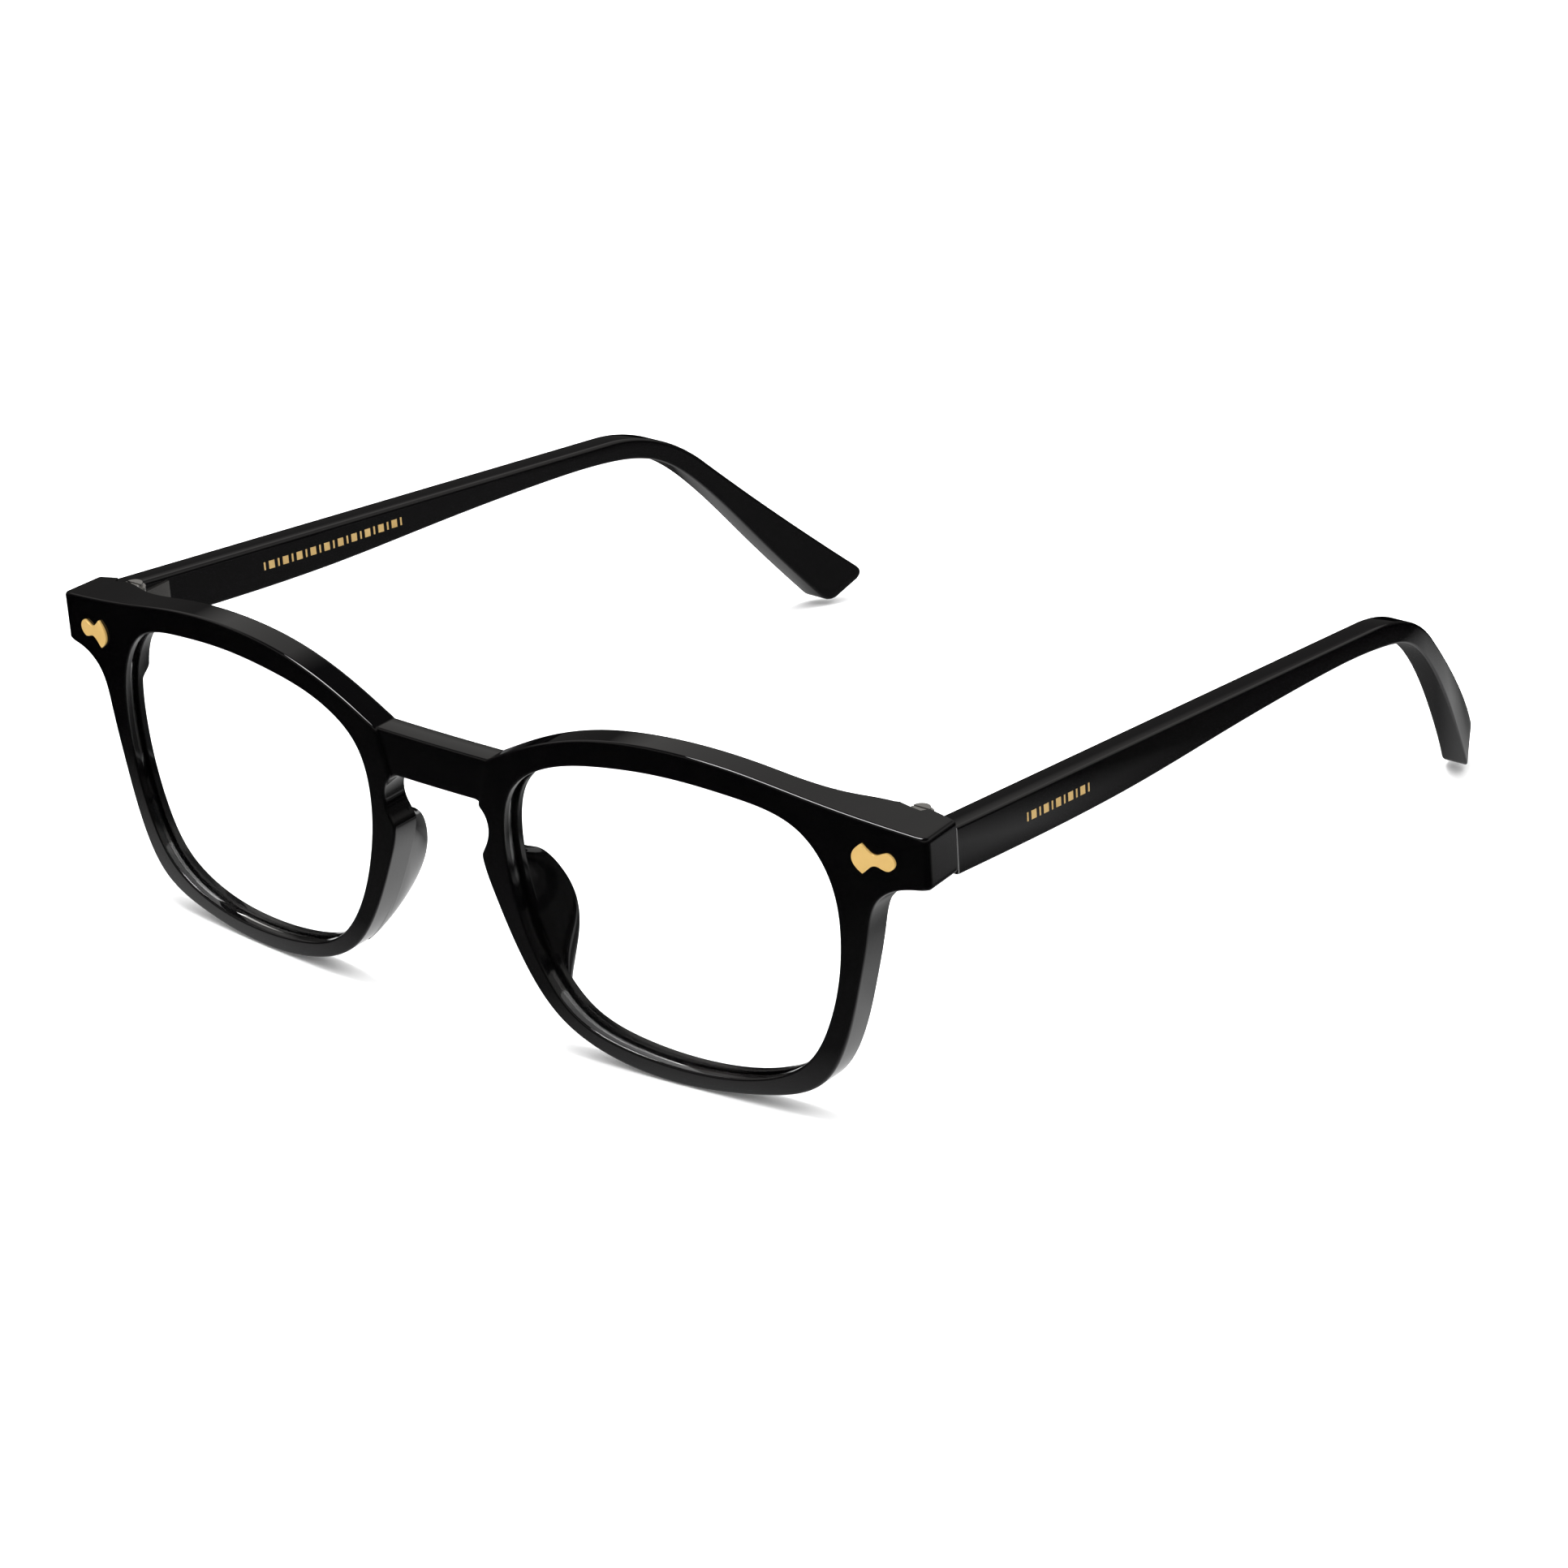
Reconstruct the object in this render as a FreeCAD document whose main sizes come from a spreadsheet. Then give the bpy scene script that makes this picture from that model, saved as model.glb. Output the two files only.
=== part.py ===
import FreeCAD, Part
import math
import os

# Eyeglasses in black acetate: a curved front with two lenses, built-up nose pads and gold plaques, and two
# temples on five-knuckle barrel hinges.
# Design frame, in mm: X to the wearer's left, front face towards -Y, temples towards +Y, Z up along the lenses.
# Z = 0 is the top corner of the end pieces and Y = 0 the middle of the front face. At the end every piece gets
# the same Placement, which stands the glasses on the rim bottoms and the temple tips.

SIZES = {
    # front
    "front_width": 142.0,
    "face_radius": 342.0,
    "rim_depth": 4.0,
    "lens_width": 47.9,
    "lens_height": 39.2,
    "lens_mid_x": 35.0,
    "lens_mid_z": -17.9,
    "blank_top": 9.0,
    "blank_bottom": -44.0,
    "end_height": 6.6,
    "slab_end": 50.0,
    "flare_run": 4.5,
    "flare_rise": 2.1,
    "seam_depth": 13.65,
    "seam_start": 66.9,
    "hinge_seat_depth": 12.6,
    "hinge_seat_start": 63.0,
    "hinge_seat_end": 66.4,
    "hinge_seat_dip": 0.3,
    "side_taper": 0.4,
    "end_foot": -9.2,
    "trim_start": 52.0,
    "trim_depth": 16.0,
    # bridge
    "bridge_top": -2.0,
    "bridge_bottom": -8.0,
    "bridge_recess": 0.45,
    "recess_half_top": 8.5,
    "recess_half_foot": 6.7,
    # lenses
    "lens_thickness": 1.8,
    "lens_set": 1.1,
    "groove_depth": 0.65,
    "lens_clearance": 0.05,
    # plaques
    "plaque_length": 5.6,
    "plaque_height": 3.9,
    "plaque_thickness": 0.35,
    "plaque_mid_x": 64.2,
    "plaque_mid_z": -3.5,
    "peg_radius": 0.5,
    "peg_length": 2.2,
    "peg_spacing": 2.4,
    # nose pads
    "pad_reach": 10.6,
    # hinges
    "hinge_x": 64.9,
    "hinge_y": 14.4,
    "hinge_top": -0.55,
    "knuckle_radius": 1.55,
    "knuckle_pitch": 1.22,
    "knuckle_gap": 0.06,
    "screw_radius": 0.62,
    "screw_clearance": 0.04,
    "screw_head_radius": 1.2,
    "screw_head_height": 0.55,
    "screw_slot_width": 0.3,
    "screw_slot_depth": 0.25,
    "leaf_top": -0.95,
    "leaf_foot": -6.35,
    "temple_leaf_top": -2.6,
    "temple_leaf_length": 5.4,
    # temples
    "temple_x": 70.5,
    "temple_start": 13.75,
    "temple_thickness": 3.8,
    "temple_inward_slope": 2.1,
    "tip_curve_start": 108.0,
    "tip_curve_radius": 95.0,
    "temple_drop": 7.1,
    "temple_top": -0.95,
    "bend_start": 108.5,
    "bend_radius": 29.0,
    "bend_drop": 45.35,
    "tip_run": 35.12,
    "tip_height": 6.8,
    "tip_slant": 100.0,
    "core_size": 1.2,
    "core_depth": 0.8,
    "core_end": 8.0,
    # how it stands
    "stand_tilt": 4.08,
}


def make_sheet(doc):
    sheet = doc.addObject("Spreadsheet::Sheet", "Sizes")
    for row, (name, value) in enumerate(SIZES.items(), start=1):
        sheet.set(f"A{row}", name)
        sheet.set(f"B{row}", str(value))
        sheet.setAlias(f"B{row}", name)
    doc.recompute()
    return sheet


class Sizes:
    """The sheet's values by name."""

    def __init__(self, sheet):
        self.sheet = sheet

    def __getattr__(self, name):
        return float(self.sheet.get(name))


# ---- plane curves -------------------------------------------------------------------------------------------

def vec(a, b):
    return FreeCAD.Vector(a, b, 0)


def line(a, b):
    return Part.LineSegment(vec(*a), vec(*b))


def polygon(points):
    return [line(a, b) for a, b in zip(points, points[1:] + points[:1])]


def spline(points, start=None, end=None):
    """A curve through the points, with the given directions at its ends."""
    curve = Part.BSplineCurve()
    if start is None:
        curve.interpolate([vec(*p) for p in points])
    else:
        curve.interpolate([vec(*p) for p in points], InitialTangent=vec(*start), FinalTangent=vec(*end))
    return curve


def ring(points):
    """A closed smooth curve through the points."""
    curve = Part.BSplineCurve()
    curve.interpolate([vec(*p) for p in points], PeriodicFlag=True)
    return curve


def mirrored(points):
    return [(-a, b) for a, b in reversed(points)]


# The lens shape: points as fractions of half the width and half the height, from the temple side over the top.
LENS_SHAPE = [
    (1.0, 0.13), (0.955, 0.56), (0.80, 0.83), (0.44, 0.965), (0.05, 1.0), (-0.36, 0.965), (-0.70, 0.86),
    (-0.92, 0.66), (-0.995, 0.30), (-0.955, -0.10), (-0.83, -0.52), (-0.62, -0.83), (-0.30, -0.965),
    (0.10, -1.0), (0.46, -0.945), (0.76, -0.76), (0.91, -0.44),
]


def lens_points(sizes, grow=0.0):
    """The lens shape, its half width and half height made larger by grow."""
    half_width = sizes.lens_width / 2 + grow
    half_height = sizes.lens_height / 2 + grow
    return [(sizes.lens_mid_x + a * half_width, sizes.lens_mid_z + b * half_height) for a, b in LENS_SHAPE]


def front_outline(sizes):
    """The front seen square on: brow line, end piece, rim, nose corner, keyhole and bridge, on both sides."""
    half = sizes.front_width / 2
    corner = (half, 0.0)
    under = (half, -sizes.end_height)
    brow_foot = (8.9, sizes.bridge_top)
    brow = [brow_foot, (16.0, 1.5), (24.0, 4.1), (34.0, 5.25), (46.0, 4.5), (57.0, 2.4), corner]
    rim = [under, (67.2, -7.1), (64.3, -8.9), (62.6, -14.0), (61.0, -21.5), (58.9, -29.0), (55.0, -35.4),
           (47.0, -38.5), (36.0, -39.75), (25.0, -38.5), (17.4, -34.9), (12.0, -27.7), (8.6, -20.0),
           (7.15, -15.0)]
    keyhole = [(7.15, -15.0), (8.55, -11.6), (7.9, -9.1), (6.6, sizes.bridge_bottom)]
    right = [spline(brow), line(corner, under), spline(rim, (-1.0, -0.1), (-0.1, 1.0)), spline(keyhole)]
    left = [spline(mirrored(brow)), line((-half, 0.0), (-half, -sizes.end_height)),
            spline(mirrored(rim), (-0.1, -1.0), (-1.0, 0.1)), spline(mirrored(keyhole))]
    top = line((-brow_foot[0], brow_foot[1]), brow_foot)
    bottom = line((-keyhole[-1][0], keyhole[-1][1]), keyhole[-1])
    return right + left + [top, bottom]


def front_plan(sizes):
    """The front seen from above: the curved slab, thicker at the end pieces, with a seat for each hinge."""
    half = sizes.front_width / 2
    radius = sizes.face_radius
    rear_radius = radius - sizes.rim_depth
    bow = radius - math.sqrt(radius ** 2 - half ** 2)
    slab_end = sizes.slab_end
    slab_rear = radius - math.sqrt(rear_radius ** 2 - slab_end ** 2)
    slope = slab_end / math.sqrt(rear_radius ** 2 - slab_end ** 2)
    outer = half - sizes.side_taper
    seat = sizes.hinge_seat_depth
    dip = seat - sizes.hinge_seat_dip
    face = Part.Arc(vec(-half, bow), vec(0, 0), vec(half, bow))
    rear = Part.Arc(vec(slab_end, slab_rear), vec(0, sizes.rim_depth), vec(-slab_end, slab_rear))
    edges = [face, rear]
    for side in (1, -1):
        corners = [(side * half, bow), (side * outer, sizes.seam_depth), (side * sizes.seam_start, sizes.seam_depth),
                   (side * sizes.hinge_seat_end, seat), (side * sizes.hinge_seat_start, dip)]
        edges += [line(a, b) for a, b in zip(corners, corners[1:])]
        flare = [corners[-1], (side * (sizes.hinge_seat_start - sizes.flare_run), dip - sizes.flare_rise),
                 (side * slab_end, slab_rear)]
        edges.append(spline(flare, (-side * 1.0, -0.3), (-side * 1.0, -slope)))
    return edges


# ---- helpers for bodies -------------------------------------------------------------------------------------

def new_body(doc, name):
    return doc.addObject("PartDesign::Body", name)


def origin_plane(body, role):
    return [f for f in body.Origin.OriginFeatures if f.Role == role][0]


def add_sketch(body, name, role, edges, offset=0.0):
    """A sketch on one of the body's own origin planes, moved along the plane's normal by offset."""
    sketch = body.newObject("Sketcher::SketchObject", name)
    sketch.AttachmentSupport = [(origin_plane(body, role), "")]
    sketch.MapMode = "FlatFace"
    sketch.AttachmentOffset = FreeCAD.Placement(FreeCAD.Vector(0, 0, offset), FreeCAD.Rotation())
    for edge in edges:
        sketch.addGeometry(edge, False)
    return sketch


def add_pad(body, sketch, length, both_ways=False):
    pad = body.newObject("PartDesign::Pad", sketch.Name + "Pad")
    pad.Profile = sketch
    if isinstance(length, str):
        pad.setExpression("Length", length)
    else:
        pad.Length = length
    pad.Midplane = both_ways
    return pad


def add_through_cut(doc, body, sketch):
    """Cuts the sketch's region right through the body, both ways."""
    before = body.Shape.Volume
    cut = body.newObject("PartDesign::Pocket", sketch.Name + "Cut")
    cut.Profile = sketch
    cut.Type = "ThroughAll"
    cut.Midplane = True
    doc.recompute()
    if body.Shape.Volume >= before:
        raise RuntimeError(f"{cut.Name} cuts nothing")
    return cut


def surround(inner, low, high):
    """The region between a rectangle and the inner outline."""
    return polygon([(low[0], low[1]), (high[0], low[1]), (high[0], high[1]), (low[0], high[1])]) + inner


def boolean(doc, kind, name, base, tool):
    result = doc.addObject(kind, name)
    result.Base = base
    result.Tool = tool
    result.Refine = False
    return result


def fuse(doc, name, shapes):
    result = doc.addObject("Part::MultiFuse", name)
    result.Shapes = shapes
    result.Refine = True
    return result


def box(doc, name, low, high):
    block = doc.addObject("Part::Box", name)
    block.Length = high[0] - low[0]
    block.Width = high[1] - low[1]
    block.Height = high[2] - low[2]
    block.Placement.Base = FreeCAD.Vector(*low)
    return block


def rod(doc, name, radius, height, base, direction=(0, 0, 1)):
    """A cylinder whose radius is a number or a sheet expression."""
    cylinder = doc.addObject("Part::Cylinder", name)
    if isinstance(radius, str):
        cylinder.setExpression("Radius", radius)
    else:
        cylinder.Radius = radius
    cylinder.Height = height
    turn = FreeCAD.Rotation(FreeCAD.Vector(0, 0, 1), FreeCAD.Vector(*direction))
    cylinder.Placement = FreeCAD.Placement(FreeCAD.Vector(*base), turn)
    return cylinder


def shell_layer(doc, name, sizes, inner_set, outer_set):
    """A layer of the curved front, between two depths behind the front face."""
    outer = rod(doc, name + "Outer", sizes.face_radius - outer_set, 60.0, (0, sizes.face_radius, -50.0))
    inner = rod(doc, name + "Inner", sizes.face_radius - inner_set, 60.0, (0, sizes.face_radius, -50.0))
    return boolean(doc, "Part::Cut", name, outer, inner)


def prism(doc, name, edges, reach=40.0):
    """An outline in the XZ plane carried along Y, both ways."""
    body = new_body(doc, name)
    sketch = add_sketch(body, name + "Sketch", "XZ_Plane", edges)
    add_pad(body, sketch, 2 * reach, both_ways=True)
    return body


def mirror_x(doc, name, source):
    twin = doc.addObject("Part::Mirroring", name)
    twin.Source = source
    twin.Normal = FreeCAD.Vector(1, 0, 0)
    return twin


# ---- front and what it carries (the wearer's left side has positive X) --------------------------------------

def lens_disc(doc, name, sizes, spare):
    """A curved disc of the lens shape: the lens itself, or with spare room all round the seat that it needs."""
    layer = shell_layer(doc, name + "Layer", sizes, sizes.lens_set + sizes.lens_thickness + spare,
                        sizes.lens_set - spare)
    outline = prism(doc, name + "Outline", [ring(lens_points(sizes, sizes.groove_depth + spare))])
    return boolean(doc, "Part::Common", name, layer, outline)


def front_blank(doc, sizes):
    """The acetate front with its two apertures and the step at each end of the bridge."""
    body = new_body(doc, "FrontBlank")
    plan = add_sketch(body, "FrontPlan", "XY_Plane", front_plan(sizes), sizes.blank_bottom)
    add_pad(body, plan, "Sizes.blank_top - Sizes.blank_bottom")
    doc.recompute()
    around = surround(front_outline(sizes), (-80.0, -50.0), (80.0, 15.0))
    add_through_cut(doc, body, add_sketch(body, "FrontOutline", "XZ_Plane", around))
    holes = [ring(lens_points(sizes)), ring(mirrored(lens_points(sizes)))]
    add_through_cut(doc, body, add_sketch(body, "Apertures", "XZ_Plane", holes))
    return body


def rear_trim(doc, sizes):
    """What is cut away behind a lower rim, so that only the end piece above it is thick."""
    layer = shell_layer(doc, "RearTrimLayer", sizes, sizes.trim_depth, sizes.rim_depth)
    low, high = (sizes.trim_start, 0.0, sizes.blank_bottom - 1.0), (80.0, 30.0, sizes.end_foot)
    return boolean(doc, "Part::Common", "RearTrim", layer, box(doc, "RearTrimBlock", low, high))


def bridge_recess(doc, sizes):
    """A shallow wedge-sided tray, wider at its mouth, that sets the bridge's face back between the rims."""
    body = new_body(doc, "BridgeRecess")
    sections = []
    for name, depth, spread in (("RecessFloor", sizes.bridge_recess, 0.0), ("RecessMouth", -1.0, 1.0)):
        run = spread * (1.0 + sizes.bridge_recess)
        top = (sizes.recess_half_top + run, sizes.bridge_top + 3.0)
        foot = (sizes.recess_half_foot + run, sizes.bridge_bottom - 0.6)
        corners = [(-foot[0], foot[1]), foot, top, (-top[0], top[1])]
        sections.append(add_sketch(body, name, "XZ_Plane", polygon(corners), -depth))
    doc.recompute()
    tray = body.newObject("PartDesign::AdditiveLoft", "RecessTray")
    tray.Profile = sections[0]
    tray.Sections = [sections[1]]
    tray.Ruled = True
    return body


def plaque_outline(sizes):
    """A fishtail towards the lens, a waist, and a narrower rounded end towards the corner."""
    mid_x, mid_z = sizes.plaque_mid_x, sizes.plaque_mid_z
    half = sizes.plaque_length / 2
    tall = sizes.plaque_height / 2

    def at(a, b):
        return (mid_x + a * half, mid_z + b * tall)

    tips = [at(-0.52, 1.0), at(-0.52, -1.0)]
    waist = (0.12, 0.36)
    shoulder = (0.66, 0.58)
    upper = spline([tips[0], at(*waist), at(*shoulder), at(1.0, 0.0)], (1.0, -0.9), (0.0, -1.0))
    lower = spline([at(1.0, 0.0), at(shoulder[0], -shoulder[1]), at(waist[0], -waist[1]), tips[1]],
                   (0.0, -1.0), (-1.0, -0.9))
    tail = Part.Arc(vec(*tips[1]), vec(*at(-1.0, 0.0)), vec(*tips[0]))
    return [upper, lower, tail]


def plaque(doc, sizes):
    """A gold plaque that lies on the front face, with two pegs that go into the acetate."""
    layer = shell_layer(doc, "PlaqueLayer", sizes, 0.0, -sizes.plaque_thickness)
    outline = prism(doc, "PlaqueOutline", plaque_outline(sizes))
    sheet_part = boolean(doc, "Part::Common", "PlaquePlate", layer, outline)
    pegs = []
    for number, side in enumerate((-1, 1), start=1):
        x = sizes.plaque_mid_x + side * sizes.peg_spacing / 2
        face = sizes.face_radius - math.sqrt(sizes.face_radius ** 2 - x ** 2)
        start = (x, face - sizes.plaque_thickness / 2, sizes.plaque_mid_z)
        pegs.append(rod(doc, f"PlaquePeg{number}", "Sizes.peg_radius", sizes.peg_length, start, (0, 1, 0)))
    return fuse(doc, "PlaqueLeft", [sheet_part] + pegs)


def pad_section(mid, half_length, half_width, lean, bow):
    """A slim closed section: long up and down, leaning outwards at its foot by lean degrees, and bowed."""
    tilt = math.radians(lean)

    def at(across, along):
        x = mid[0] + across * math.cos(tilt) - along * math.sin(tilt)
        z = mid[1] + along * math.cos(tilt) + across * math.sin(tilt)
        return vec(x, z)

    def side(offset):
        return Part.Arc(at(offset, half_length), at(offset - bow, 0.0), at(offset, -half_length))

    caps = [Part.LineSegment(at(-half_width, end), at(half_width, end)) for end in (half_length, -half_length)]
    return [side(-half_width), caps[1], side(half_width), caps[0]]


def nose_pad(doc, sizes):
    """A built-up pad: a fin that grows from the rear of the rim and narrows towards its edge."""
    body = new_body(doc, "NosePadLeft")
    root = sizes.rim_depth - 1.5
    tip = sizes.pad_reach
    sections = [
        (root, (13.75, -24.2), 11.4, 1.55, 24.0, 1.5),
        (root + 0.45 * (tip - root), (13.7, -24.6), 10.2, 1.45, 24.0, 1.3),
        (root + 0.85 * (tip - root), (13.6, -25.0), 8.0, 1.2, 23.0, 1.0),
        (tip, (13.5, -25.2), 6.0, 0.8, 22.0, 0.7),
    ]
    sketches = [add_sketch(body, f"PadSection{n}", "XZ_Plane",
                           pad_section(mid, length, width, lean, bow), -depth)
                for n, (depth, mid, length, width, lean, bow) in enumerate(sections, start=1)]
    doc.recompute()
    loft = body.newObject("PartDesign::AdditiveLoft", "PadLoft")
    loft.Profile = sketches[0]
    loft.Sections = sketches[1:]
    doc.recompute()
    reach = 30.0
    radius = sizes.face_radius - sizes.rim_depth

    def rear_face(x):
        return (x, sizes.face_radius - math.sqrt(radius ** 2 - x ** 2))

    face = Part.Arc(vec(*rear_face(reach)), vec(*rear_face(reach / 2)), vec(*rear_face(0.0)))
    ahead = [line(rear_face(0.0), (0.0, -1.0)), line((0.0, -1.0), (reach, -1.0)),
             line((reach, -1.0), rear_face(reach)), face]
    add_through_cut(doc, body, add_sketch(body, "PadRoot", "XY_Plane", ahead))
    return body


# ---- hinge --------------------------------------------------------------------------------------------------

def knuckles(doc, name, sizes, levels, arm_low, arm_high):
    """Knuckles at the given levels, counted from the top, each with an arm between two corners in plan."""
    shapes = []
    for level in levels:
        top = sizes.hinge_top - level * sizes.knuckle_pitch
        low = top - sizes.knuckle_pitch + sizes.knuckle_gap
        shapes.append(rod(doc, f"{name}Knuckle{level}", "Sizes.knuckle_radius", top - low,
                          (sizes.hinge_x, sizes.hinge_y, low)))
        shapes.append(box(doc, f"{name}Arm{level}", (arm_low[0], arm_low[1], low), (arm_high[0], arm_high[1], top)))
    return shapes


def hinge_hole(doc, name, sizes):
    base = (sizes.hinge_x, sizes.hinge_y, sizes.hinge_top - 8.0)
    return rod(doc, name, "Sizes.screw_radius + Sizes.screw_clearance", 10.0, base)


def front_leaf(doc, sizes):
    """Three knuckles on a plate, with an anchor sunk in the end piece."""
    x, y = sizes.hinge_x, sizes.hinge_y
    seat = sizes.hinge_seat_depth
    top, foot = sizes.leaf_top, sizes.leaf_foot
    arms = knuckles(doc, "FrontLeaf", sizes, (0, 2, 4), (x - 1.1, seat - 0.6), (x + 1.1, y))
    plate = box(doc, "FrontLeafPlate", (x - 1.6, seat - 0.9, foot), (x + 1.3, seat + 0.1, top))
    anchor = box(doc, "FrontLeafAnchor", (x - 0.7, seat - 3.2, foot + 1.2), (x + 0.7, seat - 0.6, top - 1.2))
    solid = fuse(doc, "FrontLeafSolid", arms + [plate, anchor])
    return boolean(doc, "Part::Cut", "FrontHingeLeafLeft", solid, hinge_hole(doc, "FrontLeafHole", sizes))


def temple_leaf(doc, sizes):
    """Two knuckles between the front leaf's three, on a plate let into the inner face of the temple."""
    x, y = sizes.hinge_x, sizes.hinge_y
    reach = y + 1.8 + sizes.temple_leaf_length
    arms = knuckles(doc, "TempleLeaf", sizes, (1, 3), (x + 0.1, y), (x + 1.5, y + 2.1))
    plate = box(doc, "TempleLeafPlate", (x + 1.0, y + 1.8, sizes.leaf_foot), (x + 2.3, reach, sizes.temple_leaf_top))
    solid = fuse(doc, "TempleLeafSolid", arms + [plate])
    return boolean(doc, "Part::Cut", "TempleHingeLeafLeft", solid, hinge_hole(doc, "TempleLeafHole", sizes))


def hinge_screw(doc, sizes):
    """A plain shank through the knuckles and a slotted head on the top one."""
    x, y, top = sizes.hinge_x, sizes.hinge_y, sizes.hinge_top
    length = 5 * sizes.knuckle_pitch - sizes.knuckle_gap
    shank = rod(doc, "ScrewShank", "Sizes.screw_radius", length + 0.1, (x, y, top - length))
    head = rod(doc, "ScrewHead", "Sizes.screw_head_radius", sizes.screw_head_height, (x, y, top))
    solid = fuse(doc, "ScrewSolid", [shank, head])
    half = sizes.screw_slot_width / 2
    ceiling = top + sizes.screw_head_height
    slot = box(doc, "ScrewSlot", (x - 2.0, y - half, ceiling - sizes.screw_slot_depth), (x + 2.0, y + half, ceiling))
    return boolean(doc, "Part::Cut", "HingeScrewLeft", solid, slot)


# ---- temple -------------------------------------------------------------------------------------------------

def direction(degrees):
    """A direction in the side view, falling by the given angle towards the rear."""
    return math.cos(math.radians(degrees)), -math.sin(math.radians(degrees))


def top_path(sizes, drop):
    """The temple's top line, lowered by drop: straight, then round the bend, then straight down to the tip.
    Returns its four points: start, bend start, bend end and tip, and the bend's middle."""
    shift = direction(sizes.temple_drop + 90.0)
    start = (sizes.temple_start + drop * shift[0], sizes.temple_top + drop * shift[1])
    first = direction(sizes.temple_drop)
    run = (sizes.bend_start - sizes.temple_start) / first[0]
    bend = (start[0] + run * first[0], start[1] + run * first[1])
    radius = sizes.bend_radius - drop
    centre = (bend[0] + radius * shift[0], bend[1] + radius * shift[1])

    def round_bend(degrees):
        out = direction(degrees - 90.0)
        return (centre[0] + radius * out[0], centre[1] + radius * out[1])

    end = round_bend(sizes.bend_drop)
    middle = round_bend((sizes.temple_drop + sizes.bend_drop) / 2)
    last = direction(sizes.bend_drop)
    tip = (end[0] + sizes.tip_run * last[0], end[1] + sizes.tip_run * last[1])
    return start, bend, middle, end, tip


def temple_side(sizes):
    """Side view: deep at the hinge, slim before the bend, and widening to a paddle with a slanted end."""
    start, bend, middle, end, tip = top_path(sizes, 0.0)
    slant = direction(sizes.bend_drop + sizes.tip_slant)
    heel = (tip[0] + slant[0] * sizes.tip_height, tip[1] + slant[1] * sizes.tip_height)
    foot = (sizes.temple_start, -sizes.end_height - 0.6)
    under = [heel, (134.7, -37.1), (125.0, -24.95), (117.5, -18.7), (108.5, -15.85), (94.1, -14.05),
             (71.5, -12.5), (53.0, -11.5), foot]
    return [line(start, bend), Part.Arc(vec(*bend), vec(*middle), vec(*end)), line(end, tip), line(tip, heel),
            spline(under, (-0.75, 0.66), (-1.0, 0.13)), line(foot, start)]


def core_side(sizes):
    """Side view of the wire core: it keeps one depth under the temple's top line and stops short of the tip."""
    upper = top_path(sizes, sizes.core_depth)
    lower = top_path(sizes, sizes.core_depth + sizes.core_size)
    last = direction(sizes.bend_drop)
    back = sizes.core_end
    ends = [(p[4][0] - back * last[0], p[4][1] - back * last[1]) for p in (upper, lower)]
    return [line(upper[0], upper[1]), Part.Arc(vec(*upper[1]), vec(*upper[2]), vec(*upper[3])),
            line(upper[3], ends[0]), line(ends[0], ends[1]), line(ends[1], lower[3]),
            Part.Arc(vec(*lower[3]), vec(*lower[2]), vec(*lower[1])), line(lower[1], lower[0]),
            line(lower[0], upper[0])]


def temple_plan(sizes, near, far, before):
    """Seen from above: a band between two distances from the outer face, straight and then curving inwards.
    It starts by the given length before the temple's own end."""
    slope = math.radians(sizes.temple_inward_slope)
    run = sizes.tip_curve_start - sizes.temple_start
    sweep = math.radians(30.0)

    def side(inset):
        x = sizes.temple_x - inset
        radius = sizes.tip_curve_radius - inset
        turn_x = x - run * math.tan(slope)
        centre = (turn_x - radius * math.cos(slope), sizes.tip_curve_start - radius * math.sin(slope))

        def on_arc(angle):
            return (centre[0] + radius * math.cos(slope + angle), centre[1] + radius * math.sin(slope + angle))

        start = (x + before * math.tan(slope), sizes.temple_start - before)
        return start, (turn_x, sizes.tip_curve_start), on_arc(sweep / 2), on_arc(sweep)

    outer, inner = side(near), side(far)
    return [line(outer[0], outer[1]), Part.Arc(vec(*outer[1]), vec(*outer[2]), vec(*outer[3])),
            line(outer[3], inner[3]), Part.Arc(vec(*inner[3]), vec(*inner[2]), vec(*inner[1])),
            line(inner[1], inner[0]), line(inner[0], outer[0])]


def curved_bar(doc, name, side_edges, plan_edges):
    """A bar with both a side view and a plan: the two carried through each other, and what they share kept."""
    side_body = new_body(doc, name + "Side")
    add_pad(side_body, add_sketch(side_body, name + "SideSketch", "YZ_Plane", side_edges, 40.0), 40.0)
    plan_body = new_body(doc, name + "Plan")
    add_pad(plan_body, add_sketch(plan_body, name + "PlanSketch", "XY_Plane", plan_edges, -65.0), 75.0)
    return boolean(doc, "Part::Common", name, side_body, plan_body)


def temple_pieces(doc, sizes, leaf):
    """The left temple with the room for its wire core and its hinge leaf, and the core."""
    bar = curved_bar(doc, "TempleBar", temple_side(sizes), temple_plan(sizes, 0.0, sizes.temple_thickness, 1.0))
    middle = sizes.temple_thickness / 2
    half = sizes.core_size / 2
    core = curved_bar(doc, "CoreWireLeft", core_side(sizes), temple_plan(sizes, middle - half, middle + half, 0.0))
    hollow = boolean(doc, "Part::Cut", "TempleHollow", bar, core)
    return boolean(doc, "Part::Cut", "TempleLeft", hollow, leaf), core


# ---- the whole object ---------------------------------------------------------------------------------------

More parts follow.
